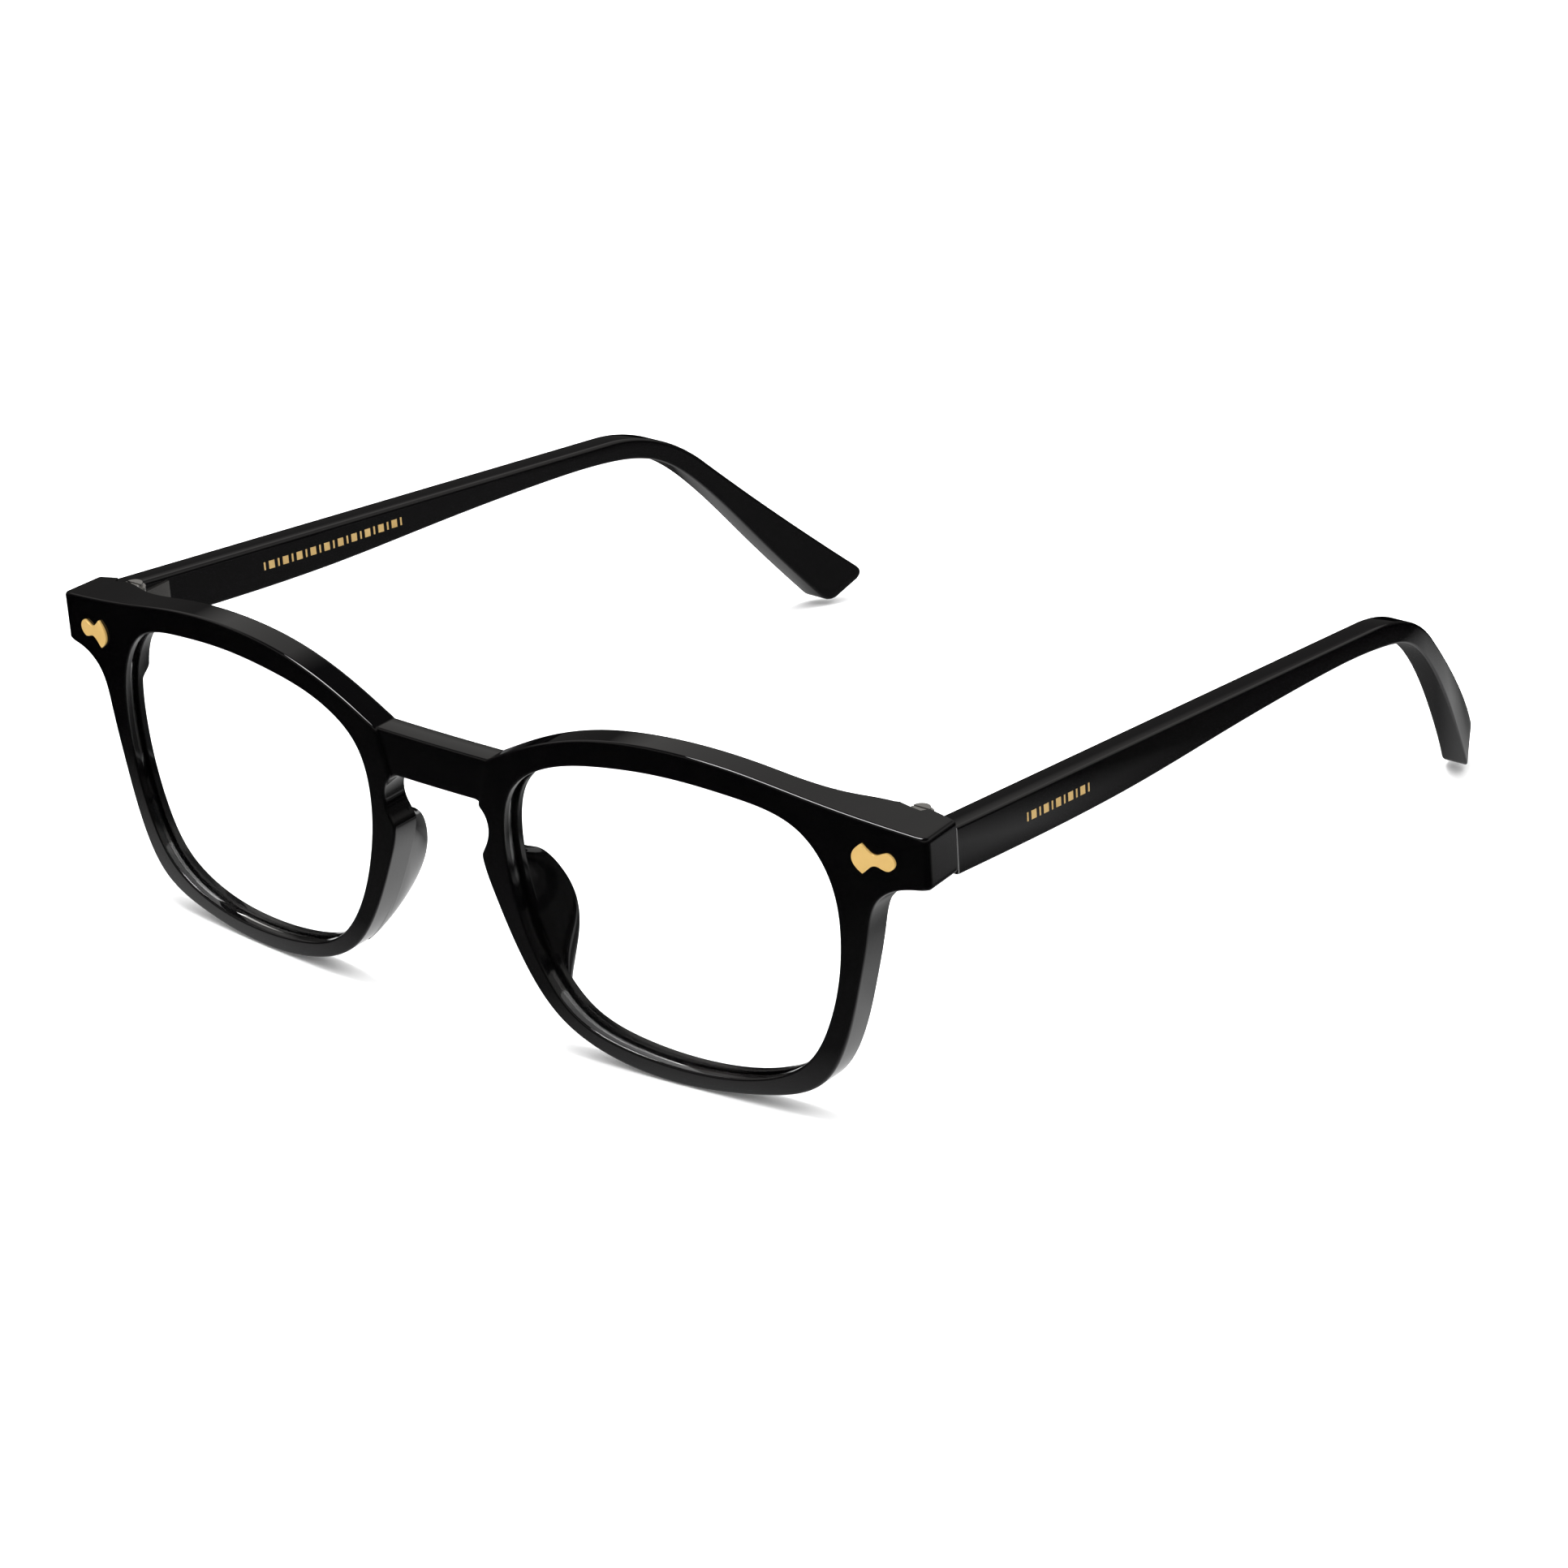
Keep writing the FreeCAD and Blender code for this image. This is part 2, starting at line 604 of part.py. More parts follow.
def build(doc, sizes):
    """Every sub-part in the design frame: its node name and its object."""
    pieces = {
        "lens_left": lens_disc(doc, "LensLeft", sizes, 0.0),
        "nose_pad_left": nose_pad(doc, sizes),
        "plaque_left": plaque(doc, sizes),
        "front_hinge_leaf_left": front_leaf(doc, sizes),
        "temple_hinge_leaf_left": temple_leaf(doc, sizes),
        "hinge_screw_left": hinge_screw(doc, sizes),
    }
    pieces["temple_left"], pieces["core_wire_left"] = temple_pieces(doc, sizes, pieces["temple_hinge_leaf_left"])
    seat = lens_disc(doc, "LensSeatLeft", sizes, sizes.lens_clearance)
    tools = [bridge_recess(doc, sizes)]
    cuts = {"Seat": seat, "Plaque": pieces["plaque_left"], "Leaf": pieces["front_hinge_leaf_left"],
            "Rear": rear_trim(doc, sizes)}
    for name, tool in cuts.items():
        tools += [tool, mirror_x(doc, name + "ToolRight", tool)]
    for name in list(pieces):
        twin = mirror_x(doc, pieces[name].Name.replace("Left", "Right"), pieces[name])
        pieces[name.replace("_left", "_right")] = twin
    blank = front_blank(doc, sizes)
    pieces["front_frame"] = boolean(doc, "Part::Cut", "FrontFrame", blank, fuse(doc, "FrontTools", tools))
    return pieces


def stand_up(pieces, sizes):
    """The Placement that leans the glasses back and stands them on Z = 0, centred on the origin."""
    turn = FreeCAD.Rotation(FreeCAD.Vector(1, 0, 0), sizes.stand_tilt)
    lean = FreeCAD.Placement(FreeCAD.Vector(), turn)
    whole = FreeCAD.BoundBox()
    for piece in pieces.values():
        shape = piece.Shape.copy()
        shape.Placement = lean.multiply(shape.Placement)
        whole.add(shape.optimalBoundingBox(False, False))
    return FreeCAD.Placement(FreeCAD.Vector(-whole.Center.x, -whole.Center.y, -whole.ZMin), turn)


def add_parts(doc, pieces, stand):
    """One named part for each piece, with its own Placement."""
    parts = []
    for name, piece in sorted(pieces.items()):
        part = doc.addObject("Part::Feature", "Part_" + name)
        part.Label = name
        shape = piece.Shape.copy()
        part.Shape = Part.Solid(shape.Solids[0]) if len(shape.Solids) == 1 else shape
        part.Placement = stand.multiply(part.Placement)
        parts.append(part)
    return parts


def check(doc, parts):
    """Stops if any object failed or any part is not one valid solid."""
    for item in doc.Objects:
        if "Invalid" in item.State or "Error" in item.State:
            raise RuntimeError(f"{item.Name} failed: {item.State}")
    for part in parts:
        shape = part.Shape
        if shape.isNull() or not shape.isValid() or len(shape.Solids) != 1:
            raise RuntimeError(f"{part.Label} is not one valid solid")


def main():
    doc = FreeCAD.newDocument("Eyeglasses")
    sizes = Sizes(make_sheet(doc))
    pieces = build(doc, sizes)
    doc.recompute()
    parts = add_parts(doc, pieces, stand_up(pieces, sizes))
    check(doc, parts)
    os.makedirs("parts", exist_ok=True)
    for part in parts:
        part.Shape.exportStep(f"parts/{part.Label}.step")
        print(part.Label, round(part.Shape.Volume, 2))


main()
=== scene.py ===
import math

import bmesh
import bpy
import numpy as np
from mathutils import Matrix, Vector


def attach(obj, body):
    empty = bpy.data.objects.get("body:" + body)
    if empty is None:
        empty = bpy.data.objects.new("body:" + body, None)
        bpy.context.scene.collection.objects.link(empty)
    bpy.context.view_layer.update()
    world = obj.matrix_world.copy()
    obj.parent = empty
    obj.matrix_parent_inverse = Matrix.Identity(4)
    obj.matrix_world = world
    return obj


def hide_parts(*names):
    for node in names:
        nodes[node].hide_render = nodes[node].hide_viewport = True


# Glossy black acetate eyeglasses, standing open. The shapes are worked out in the design frame, in
# millimetres: x to the wearer's left, y from the face of the front towards the ears, z up along the lenses.
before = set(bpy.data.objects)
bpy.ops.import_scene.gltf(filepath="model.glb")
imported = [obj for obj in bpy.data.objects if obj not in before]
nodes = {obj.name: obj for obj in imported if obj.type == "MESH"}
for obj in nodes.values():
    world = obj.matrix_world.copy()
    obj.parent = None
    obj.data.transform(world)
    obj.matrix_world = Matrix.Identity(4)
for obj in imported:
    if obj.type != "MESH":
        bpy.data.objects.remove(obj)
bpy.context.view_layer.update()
mm = 0.001
stand = {"tilt": 4.08, "shiftY": -76.682, "shiftZ": 39.583}
print("frame loaded,", len(nodes), "nodes")


# a curve through the points with continuous curvature. Each piece is the cubic that leaves p with
# direction m and reaches q with direction n: (2w^3 - 3w^2 + 1) p + (w^3 - 2w^2 + w) h m + (3w^2 - 2w^3) q
# + (w^3 - w^2) h n, with h its length. The directions solve m[i-1] / h + 2 m[i] (1/h + 1/k) + m[i+1] / k
# = 3 (rise / h^2 + rise / k^2)
def curveThrough(points, count, closed=False, start=None, end=None):
    p = np.array(points, float)
    if closed:
        p = np.vstack([p[-3:], p, p[:4]])
    h = np.linalg.norm(np.diff(p, axis=0), axis=1)
    knots = np.concatenate([[0.0], np.cumsum(h)])
    n = len(p)
    left = np.zeros((n, n))
    right = np.zeros((n, p.shape[1]))
    inner = np.arange(1, n - 1)
    left[inner, inner - 1] = 1 / h[:-1]
    left[inner, inner] = 2 / h[:-1] + 2 / h[1:]
    left[inner, inner + 1] = 1 / h[1:]
    slopes = np.diff(p, axis=0) / h[:, None] ** 2
    right[inner] = 3 * (slopes[:-1] + slopes[1:])
    left[0, 0], left[0, 1], right[0] = 2 / h[0], 1 / h[0], 3 * slopes[0]
    left[-1, -1], left[-1, -2], right[-1] = 2 / h[-1], 1 / h[-1], 3 * slopes[-1]
    if start is not None:
        left[0, :2], right[0] = (1.0, 0.0), np.array(start) / np.linalg.norm(start)
    if end is not None:
        left[-1, -2:], right[-1] = (0.0, 1.0), np.array(end) / np.linalg.norm(end)
    m = np.linalg.solve(left, right)
    first, last = (knots[3], knots[-4]) if closed else (knots[0], knots[-1])
    at = np.linspace(first, last, count, endpoint=not closed)
    piece = np.clip(np.searchsorted(knots, at, side="right") - 1, 0, n - 2)
    w = ((at - knots[piece]) / h[piece])[:, None]
    run = h[piece][:, None]
    return ((2 * w**3 - 3 * w**2 + 1) * p[piece] + (w**3 - 2 * w**2 + w) * run * m[piece]
            + (3 * w**2 - 2 * w**3) * p[piece + 1] + (w**3 - w**2) * run * m[piece + 1])


# the points spread evenly along the line they make: each stands at its share of the line's length
def evenly(points, count, closed=True):
    p = np.vstack([points, points[:1]]) if closed else points
    along = np.concatenate([[0.0], np.cumsum(np.linalg.norm(np.diff(p, axis=0), axis=1))])
    at = np.linspace(0.0, along[-1], count, endpoint=not closed)
    return np.stack([np.interp(at, along, p[:, k]) for k in range(p.shape[1])], axis=1)


# a closed loop whose corners are rounded: every point becomes the mean of its neighbours, weighted by a
# bell of the given reach in mm, which multiplies the loop's waves by exp(-2 (pi f reach)^2)
def softened(loop, reach):
    step = np.linalg.norm(np.diff(np.vstack([loop, loop[:1]]), axis=0), axis=1).mean()
    turns = np.fft.fftfreq(len(loop))
    bell = np.exp(-2 * (np.pi * turns * reach / step) ** 2)
    return np.stack([np.real(np.fft.ifft(np.fft.fft(loop[:, k]) * bell)) for k in range(2)], axis=1)


# the same for one value along a closed loop, over a reach of so many samples
def evened(values, reach):
    turns = np.fft.fftfreq(len(values))
    return np.real(np.fft.ifft(np.fft.fft(values) * np.exp(-2 * (np.pi * turns * reach) ** 2)))


# unit normals of a closed loop that point to its inside: the direction along it, turned by a right angle
def inwardNormals(loop):
    along = np.roll(loop, -1, axis=0) - np.roll(loop, 1, axis=0)
    along /= np.linalg.norm(along, axis=1)[:, None]
    turned = np.stack([-along[:, 1], along[:, 0]], axis=1)
    after = np.roll(loop, -1, axis=0)
    area = np.sum(loop[:, 0] * after[:, 1] - loop[:, 1] * after[:, 0])
    return turned if area > 0 else -turned


# rings of equally many points become a skin of four-sided faces
def skin(rings, closed=False):
    rings = np.array(rings)
    count, around = rings.shape[:2]
    rows = count if closed else count - 1
    r, k = np.meshgrid(np.arange(rows), np.arange(around), indexing="ij")
    r2, k2 = (r + 1) % count, (k + 1) % around
    faces = np.stack([r * around + k, r * around + k2, r2 * around + k2, r2 * around + k], axis=-1)
    return rings.reshape(-1, 3), faces.reshape(-1, 4)


# six times the volume inside a skin, a . (b x c) + a . (c x d) over its faces: positive where they face
# outwards
def volume(verts, faces):
    a, b, c, d = (verts[faces[:, k]] for k in range(4))
    return np.sum(a * np.cross(b, c)) + np.sum(a * np.cross(c, d))


# the same part on the wearer's other side: x becomes -x
def mirrored(part):
    return part[0] * np.array([-1.0, 1.0, 1.0]), part[1]


# the design frame as the glasses stand, in metres: y cos t - z sin t and y sin t + z cos t, then the shift
def toStand(p):
    c, s = math.cos(math.radians(stand["tilt"])), math.sin(math.radians(stand["tilt"]))
    y = p[:, 1] * c - p[:, 2] * s + stand["shiftY"]
    z = p[:, 1] * s + p[:, 2] * c + stand["shiftZ"]
    return np.stack([p[:, 0], y, z], axis=1) * mm


# the skins become one named piece, with their faces outwards, that rides on its body. Points closer
# together than the weld distance, in metres, become one
def addPiece(name, parts, material, body, replaced=(), sharpAngle=35.0, weld=2e-7):
    verts, faces, base = [], [], 0
    for v, f in parts:
        if volume(v, f) < 0:
            f = f[:, ::-1]
        verts.append(v)
        faces.append(f + base)
        base += len(v)
    mesh = bpy.data.meshes.new(name)
    mesh.from_pydata(toStand(np.vstack(verts)), [], np.vstack(faces))
    clean = bmesh.new()
    clean.from_mesh(mesh)
    bmesh.ops.remove_doubles(clean, verts=clean.verts, dist=weld)
    bmesh.ops.dissolve_degenerate(clean, edges=clean.edges, dist=weld)
    clean.to_mesh(mesh)
    clean.free()
    mesh.polygons.foreach_set("use_smooth", np.ones(len(mesh.polygons), bool))
    mesh.set_sharp_from_angle(angle=math.radians(sharpAngle))
    mesh.materials.append(material)
    piece = bpy.data.objects.new(name, mesh)
    bpy.context.scene.collection.objects.link(piece)
    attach(piece, body)
    if replaced:
        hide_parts(*replaced)
    return piece


# a shader group with named numbers going in and coming out
def newGroup(name, inputs, outputs):
    group = bpy.data.node_groups.new(name, "ShaderNodeTree")
    for label, value in inputs.items():
        group.interface.new_socket(label, in_out="INPUT", socket_type="NodeSocketFloat").default_value = value
    for label in outputs:
        group.interface.new_socket(label, in_out="OUTPUT", socket_type="NodeSocketFloat")
    return group, group.nodes.new("NodeGroupInput"), group.nodes.new("NodeGroupOutput")


# polishing marks: soft blotches, and fine threads drawn out along the depth, both between 0 and 1
def makePolishGroup():
    group, source, result = newGroup("polishMarks", {"Scale": 300.0, "Threads": 2400.0}, ["Blotch", "Thread"])
    new, link = group.nodes.new, group.links.new
    place = new("ShaderNodeTexCoord")
    blotch = new("ShaderNodeTexNoise")
    blotch.inputs["Detail"].default_value = 3.0
    stretch = new("ShaderNodeMapping")
    stretch.inputs["Scale"].default_value = (1.0, 0.06, 0.35)
    thread = new("ShaderNodeTexNoise")
    thread.inputs["Detail"].default_value = 2.0
    link(place.outputs["Object"], blotch.inputs["Vector"])
    link(place.outputs["Object"], stretch.inputs["Vector"])
    link(stretch.outputs["Vector"], thread.inputs["Vector"])
    link(source.outputs["Scale"], blotch.inputs["Scale"])
    link(source.outputs["Threads"], thread.inputs["Scale"])
    link(blotch.outputs["Fac"], result.inputs["Blotch"])
    link(thread.outputs["Fac"], result.inputs["Thread"])
    return group


# dust: 1 closer than Size to the middle of a random cell, and 0 elsewhere
def makeDustGroup():
    group, source, result = newGroup("dustSpecks", {"Scale": 700.0, "Size": 0.06}, ["Speck"])
    new, link = group.nodes.new, group.links.new
    place = new("ShaderNodeTexCoord")
    cells = new("ShaderNodeTexVoronoi")
    small = new("ShaderNodeMath")
    small.operation = "LESS_THAN"
    link(place.outputs["Object"], cells.inputs["Vector"])
    link(source.outputs["Scale"], cells.inputs["Scale"])
    link(cells.outputs["Distance"], small.inputs[0])
    link(source.outputs["Size"], small.inputs[1])
    link(small.outputs["Value"], result.inputs["Speck"])
    return group


polishGroup = makePolishGroup()
dustGroup = makeDustGroup()


# a material with its shader, whose sockets take the values given under their names
def newMaterial(name, **sockets):
    material = bpy.data.materials.new(name)
    material.use_nodes = True
    shader = material.node_tree.nodes["Principled BSDF"]
    for label, value in sockets.items():
        shader.inputs[label.replace("_", " ")].default_value = value
    return material, shader


# low + (high - low) mask
def ranged(tree, mask, low, high):
    node = tree.nodes.new("ShaderNodeMapRange")
    node.inputs["To Min"].default_value = low
    node.inputs["To Max"].default_value = high
    tree.links.new(mask, node.inputs["Value"])
    return node.outputs["Result"]


# the normal of a relief of height times distance, in metres
def addBump(tree, shader, height, distance):
    bump = tree.nodes.new("ShaderNodeBump")
    bump.inputs["Distance"].default_value = distance
    tree.links.new(height, bump.inputs["Height"])
    tree.links.new(bump.outputs["Normal"], shader.inputs["Normal"])


# low (1 - mask) + high mask, for colours
def colourBetween(tree, mask, low, high):
    mix = tree.nodes.new("ShaderNodeMix")
    mix.data_type = "RGBA"
    mix.inputs["A"].default_value = low
    mix.inputs["B"].default_value = high
    tree.links.new(mask, mix.inputs["Factor"])
    return mix.outputs["Result"]


# 1 on the thin line just behind the seam between an end piece and its temple, a painted highlight that stands
# in for the light the seam's edge catches: |y cos t + z sin t - depth| below half the line's width
def seamHighlightMask(tree):
    paintedHighlight = {"depth": 13.83, "half": 0.06}
    c, s = math.cos(math.radians(stand["tilt"])), math.sin(math.radians(stand["tilt"]))
    place, along, close = (tree.nodes.new("ShaderNodeTexCoord"), tree.nodes.new("ShaderNodeVectorMath"),
                           tree.nodes.new("ShaderNodeMath"))
    along.operation, close.operation = "DOT_PRODUCT", "COMPARE"
    along.inputs[1].default_value = (0.0, c, s)
    close.inputs[1].default_value = (paintedHighlight["depth"] + stand["shiftY"] * c + stand["shiftZ"] * s) * mm
    close.inputs[2].default_value = paintedHighlight["half"] * mm
    tree.links.new(place.outputs["Object"], along.inputs[0])
    tree.links.new(along.outputs["Value"], close.inputs[0])
    return close.outputs["Value"]


# black acetate, polished: a gloss that is nearly even, broken by faint polishing marks and a few specks of
# dust, with a painted highlight, a pale grey line, just behind the seam to each temple
def makeAcetate():
    look = {"dark": (0.0005, 0.0005, 0.0007, 1), "light": (0.0014, 0.0013, 0.0014, 1), "gloss": (0.012, 0.04),
            "marks": 0.0000002, "dust": 0.06, "paintedHighlight": (0.12, 0.12, 0.12, 1)}
    material, shader = newMaterial("blackAcetate", IOR=1.49, Coat_Weight=0.0)
    tree = material.node_tree
    marks = tree.nodes.new("ShaderNodeGroup")
    marks.node_tree = polishGroup
    dust = tree.nodes.new("ShaderNodeGroup")
    dust.node_tree = dustGroup
    # painted highlight: a pale grey line on the black, just behind the seam between each end piece and its
    # temple
    seam = seamHighlightMask(tree)
    mix = tree.nodes.new("ShaderNodeMix")
    mix.data_type = "RGBA"
    mix.inputs["B"].default_value = look["paintedHighlight"]
    tree.links.new(seam, mix.inputs["Factor"])
    tree.links.new(colourBetween(tree, marks.outputs["Blotch"], look["dark"], look["light"]), mix.inputs["A"])
    tree.links.new(mix.outputs["Result"], shader.inputs["Base Color"])
    gloss = ranged(tree, marks.outputs["Thread"], *look["gloss"])
    rough = tree.nodes.new("ShaderNodeMath")
    rough.operation = "MULTIPLY_ADD"
    rough.inputs[1].default_value = look["dust"]
    tree.links.new(dust.outputs["Speck"], rough.inputs[0])
    tree.links.new(gloss, rough.inputs[2])
    tree.links.new(rough.outputs["Value"], shader.inputs["Roughness"])
    addBump(tree, shader, marks.outputs["Blotch"], look["marks"])
    return material


# clear lens: light passes straight through towards the floor, so the lenses throw no dark shadow
def makeLensGlass():
    look = {"dull": (0.985, 0.995, 0.992, 1), "clear": (1.0, 1.0, 1.0, 1), "passing": (0.97, 0.98, 0.98, 1)}
    material, shader = newMaterial("clearLens", Transmission_Weight=1.0, IOR=1.12, Roughness=0.0)
    tree = material.node_tree
    marks = tree.nodes.new("ShaderNodeGroup")
    marks.node_tree = polishGroup
    tint = colourBetween(tree, marks.outputs["Blotch"], look["dull"], look["clear"])
    tree.links.new(tint, shader.inputs["Base Color"])
    light = tree.nodes.new("ShaderNodeLightPath")
    clear = tree.nodes.new("ShaderNodeBsdfTransparent")
    clear.inputs["Color"].default_value = look["passing"]
    mix = tree.nodes.new("ShaderNodeMixShader")
    tree.links.new(light.outputs["Is Shadow Ray"], mix.inputs["Fac"])
    tree.links.new(shader.outputs["BSDF"], mix.inputs[1])
    tree.links.new(clear.outputs["BSDF"], mix.inputs[2])
    tree.links.new(mix.outputs["Shader"], tree.nodes["Material Output"].inputs["Surface"])
    return material


# a metal with fine threads in its gloss and a slightly blotchy colour
def makeMetal(name, dark, light, gloss, marks, metallic=1.0):
    material, shader = newMaterial(name, Metallic=metallic)
    tree = material.node_tree
    polish = tree.nodes.new("ShaderNodeGroup")
    polish.node_tree = polishGroup
    tree.links.new(colourBetween(tree, polish.outputs["Blotch"], dark, light), shader.inputs["Base Color"])
    tree.links.new(ranged(tree, polish.outputs["Thread"], *gloss), shader.inputs["Roughness"])
    addBump(tree, shader, polish.outputs["Thread"], marks)
    return material


acetate = makeAcetate()
lensGlass = makeLensGlass()
goldPlate = makeMetal("goldPlate", (0.66, 0.42, 0.13, 1), (0.78, 0.52, 0.18, 1), (0.26, 0.42), 0.000002, 0.35)
goldFoil = makeMetal("goldFoil", (0.42, 0.27, 0.09, 1), (0.66, 0.46, 0.19, 1), (0.28, 0.45), 0.000001, 0.35)
hingeSteel = makeMetal("hingeSteel", (0.33, 0.32, 0.31, 1), (0.52, 0.51, 0.49, 1), (0.12, 0.28), 0.000002)
wireSteel = makeMetal("wireSteel", (0.42, 0.42, 0.42, 1), (0.6, 0.6, 0.6, 1), (0.25, 0.4), 0.000003)
print("materials made")


# the front, in mm: the bent slab, the seat and seam of each end piece, the rounding of the edges, the
# lens grooves
front = {
    "half": 71.0, "faceRadius": 342.0, "depth": 4.0, "slabEnd": 50.0, "sideTaper": 0.4, "taperStart": 66.0,
    "seat": 12.6, "seatStart": 63.0, "seatEnd": 66.4, "seatDip": 0.3, "flareRun": 4.5, "flareRise": 2.1,
    "seam": 13.65, "seamStart": 66.9, "endFade": (-10.2, -8.2),
    "around": 780, "cornerReach": 0.32, "edge": 0.32, "rearEdge": 0.4, "seamEdge": 0.16, "cornerEdge": 0.8,
    "cornerStart": 70.4, "heelEdge": 0.4, "heelTop": -5.6, "besidePad": (25.0, -13.0), "padEdge": 0.04,
    "apertureEdge": 0.3, "spare": 0.08,
    "lensMid": (35.0, -17.9), "lensSize": (47.9, 39.2), "lensSet": 1.1, "lensThick": 1.8, "groove": 0.65,
    "lip": 0.12, "play": 0.03, "fine": 4000,
}

# the lens shape, as fractions of half its width and half its height, from the temple side over the top
lensShape = np.array([
    (1.0, 0.13), (0.955, 0.56), (0.80, 0.83), (0.44, 0.965), (0.05, 1.0), (-0.36, 0.965), (-0.70, 0.86),
    (-0.92, 0.66), (-0.995, 0.30), (-0.955, -0.10), (-0.83, -0.52), (-0.62, -0.83), (-0.30, -0.965),
    (0.10, -1.0), (0.46, -0.945), (0.76, -0.76), (0.91, -0.44),
])


# the lens outline, grown by so many mm: middle + shape * (half size + grow)
def lensLoop(grow, count):
    size = np.array(front["lensSize"]) / 2 + grow
    corners = np.array(front["lensMid"]) + lensShape * size
    return evenly(curveThrough(corners, front["fine"], closed=True), count)


# depth of the face, r - sqrt(r^2 - x^2): the front is part of a cylinder whose axis stands behind it
def faceDepth(x):
    return front["faceRadius"] - np.sqrt(front["faceRadius"] ** 2 - x**2)


# depth of the rear: the slab's own arc r - sqrt(q^2 - x^2), with q the inner radius. At the height of the
# end pieces it goes on as a flare up to the hinge seat and a step to the seam; below them these fade by
# 3s^2 - 2s^3
def rearDepth(x, z=0.0):
    x = np.abs(x)
    inner = front["faceRadius"] - front["depth"]
    end, seat, dip = front["slabEnd"], front["seat"], front["seatDip"]
    across = math.sqrt(inner**2 - end**2)
    low = (front["seatStart"], seat - dip)
    bend = (low[0] - front["flareRun"], low[1] - front["flareRise"])
    flare = curveThrough([(end, front["faceRadius"] - across), bend, low], 200, start=(1.0, end / across),
                         end=(1.0, 0.3))
    steps = np.array([(front["seatStart"] + dip, seat), (front["seatEnd"], seat),
                      (front["seamStart"], front["seam"]), (front["half"], front["seam"])])
    table = np.vstack([flare, steps])
    thin = front["faceRadius"] - np.sqrt(inner**2 - x**2)
    thick = np.where(x <= end, thin, np.interp(x, table[:, 0], table[:, 1]))
    foot, top = front["endFade"]
    share = np.clip((z - foot) / (top - foot), 0.0, 1.0)
    return thin + (thick - thin) * share**2 * (3 - 2 * share)


# one rim seen square on: brow line, end piece, lower rim, side of the keyhole, and up beside the bridge
def rimOutline():
    brow = [(8.9, -2.0), (16.0, 1.5), (24.0, 4.1), (34.0, 5.25), (46.0, 4.5), (57.0, 2.4), (71.0, 0.0)]
    brow = curveThrough(brow, 600)
    rim = [(71.0, -6.6), (67.2, -7.1), (64.3, -8.9), (62.6, -14.0), (61.0, -21.5), (58.9, -29.0),
           (55.0, -35.4), (47.0, -38.5), (36.0, -39.75), (25.0, -38.5), (17.4, -34.9), (12.0, -27.7),
           (8.6, -20.0), (7.15, -15.0)]
    rim = curveThrough(rim, 1200, start=(-1.0, -0.1), end=(-0.1, 1.0))
    keyhole = curveThrough([(7.15, -15.0), (8.55, -11.6), (7.9, -9.1), (7.25, -8.45)], 120)
    return np.vstack([brow, rim, keyhole])


# a quarter round of radius 1: how far in from the outline, 1 - cos a, and how deep, 1 - sin a
def quarterRound(steps=6):
    turn = np.linspace(0.0, math.pi / 2, steps)
    return 1 - np.cos(turn), 1 - np.sin(turn)


# the sides of the end pieces lean inwards towards the seam: x - taper * (share of the way out) * (share
# of the way back)
def tapered(points):
    x, y, z = points.T
    start = front["taperStart"]
    share = np.clip((x - start) / (front["half"] - start), 0.0, 1.0)
    share = share * (y - faceDepth(x)) / (front["seam"] - faceDepth(x))
    return np.stack([x - front["sideTaper"] * share, y, z], axis=1)


# values of a closed table read at places along it, counted in its rows
def readLoop(table, places):
    rows = np.arange(len(table) + 1)
    wrapped = np.vstack([table, table[:1]])
    return np.stack([np.interp(places, rows, wrapped[:, k]) for k in range(2)], axis=1)


# where along the fine aperture loop each outline point has its partner: the nearest point, then evened out
def partners(outer, fine):
    count = len(fine)
    nearest = np.argmin(((outer[:, None, :] - fine[None, :, :]) ** 2).sum(axis=2), axis=1).astype(float)
    steps = (np.diff(nearest, append=nearest[0]) + count / 2) % count - count / 2
    pairing = nearest[0] + np.concatenate([[0.0], np.cumsum(steps)[:-1]])
    even = np.linspace(0.0, np.sum(steps), len(outer), endpoint=False)
    return np.mod(even + evened(pairing - even, 16), count)


# the rounding of the outline's two edges at every point of it
def rimEdges(outer):
    x, z = outer.T
    face = evened(np.where(x > front["cornerStart"], front["cornerEdge"], front["edge"]), 2)
    atEnd = x > front["taperStart"]
    outermost, highest = front["besidePad"]
    besidePad = (x < outermost) & (z < highest)
    rear = np.where(atEnd, front["seamEdge"], front["rearEdge"])
    rear = np.where(atEnd & (z < front["heelTop"]), front["heelEdge"], rear)
    return face, evened(np.where(besidePad, front["padEdge"], rear), 3)


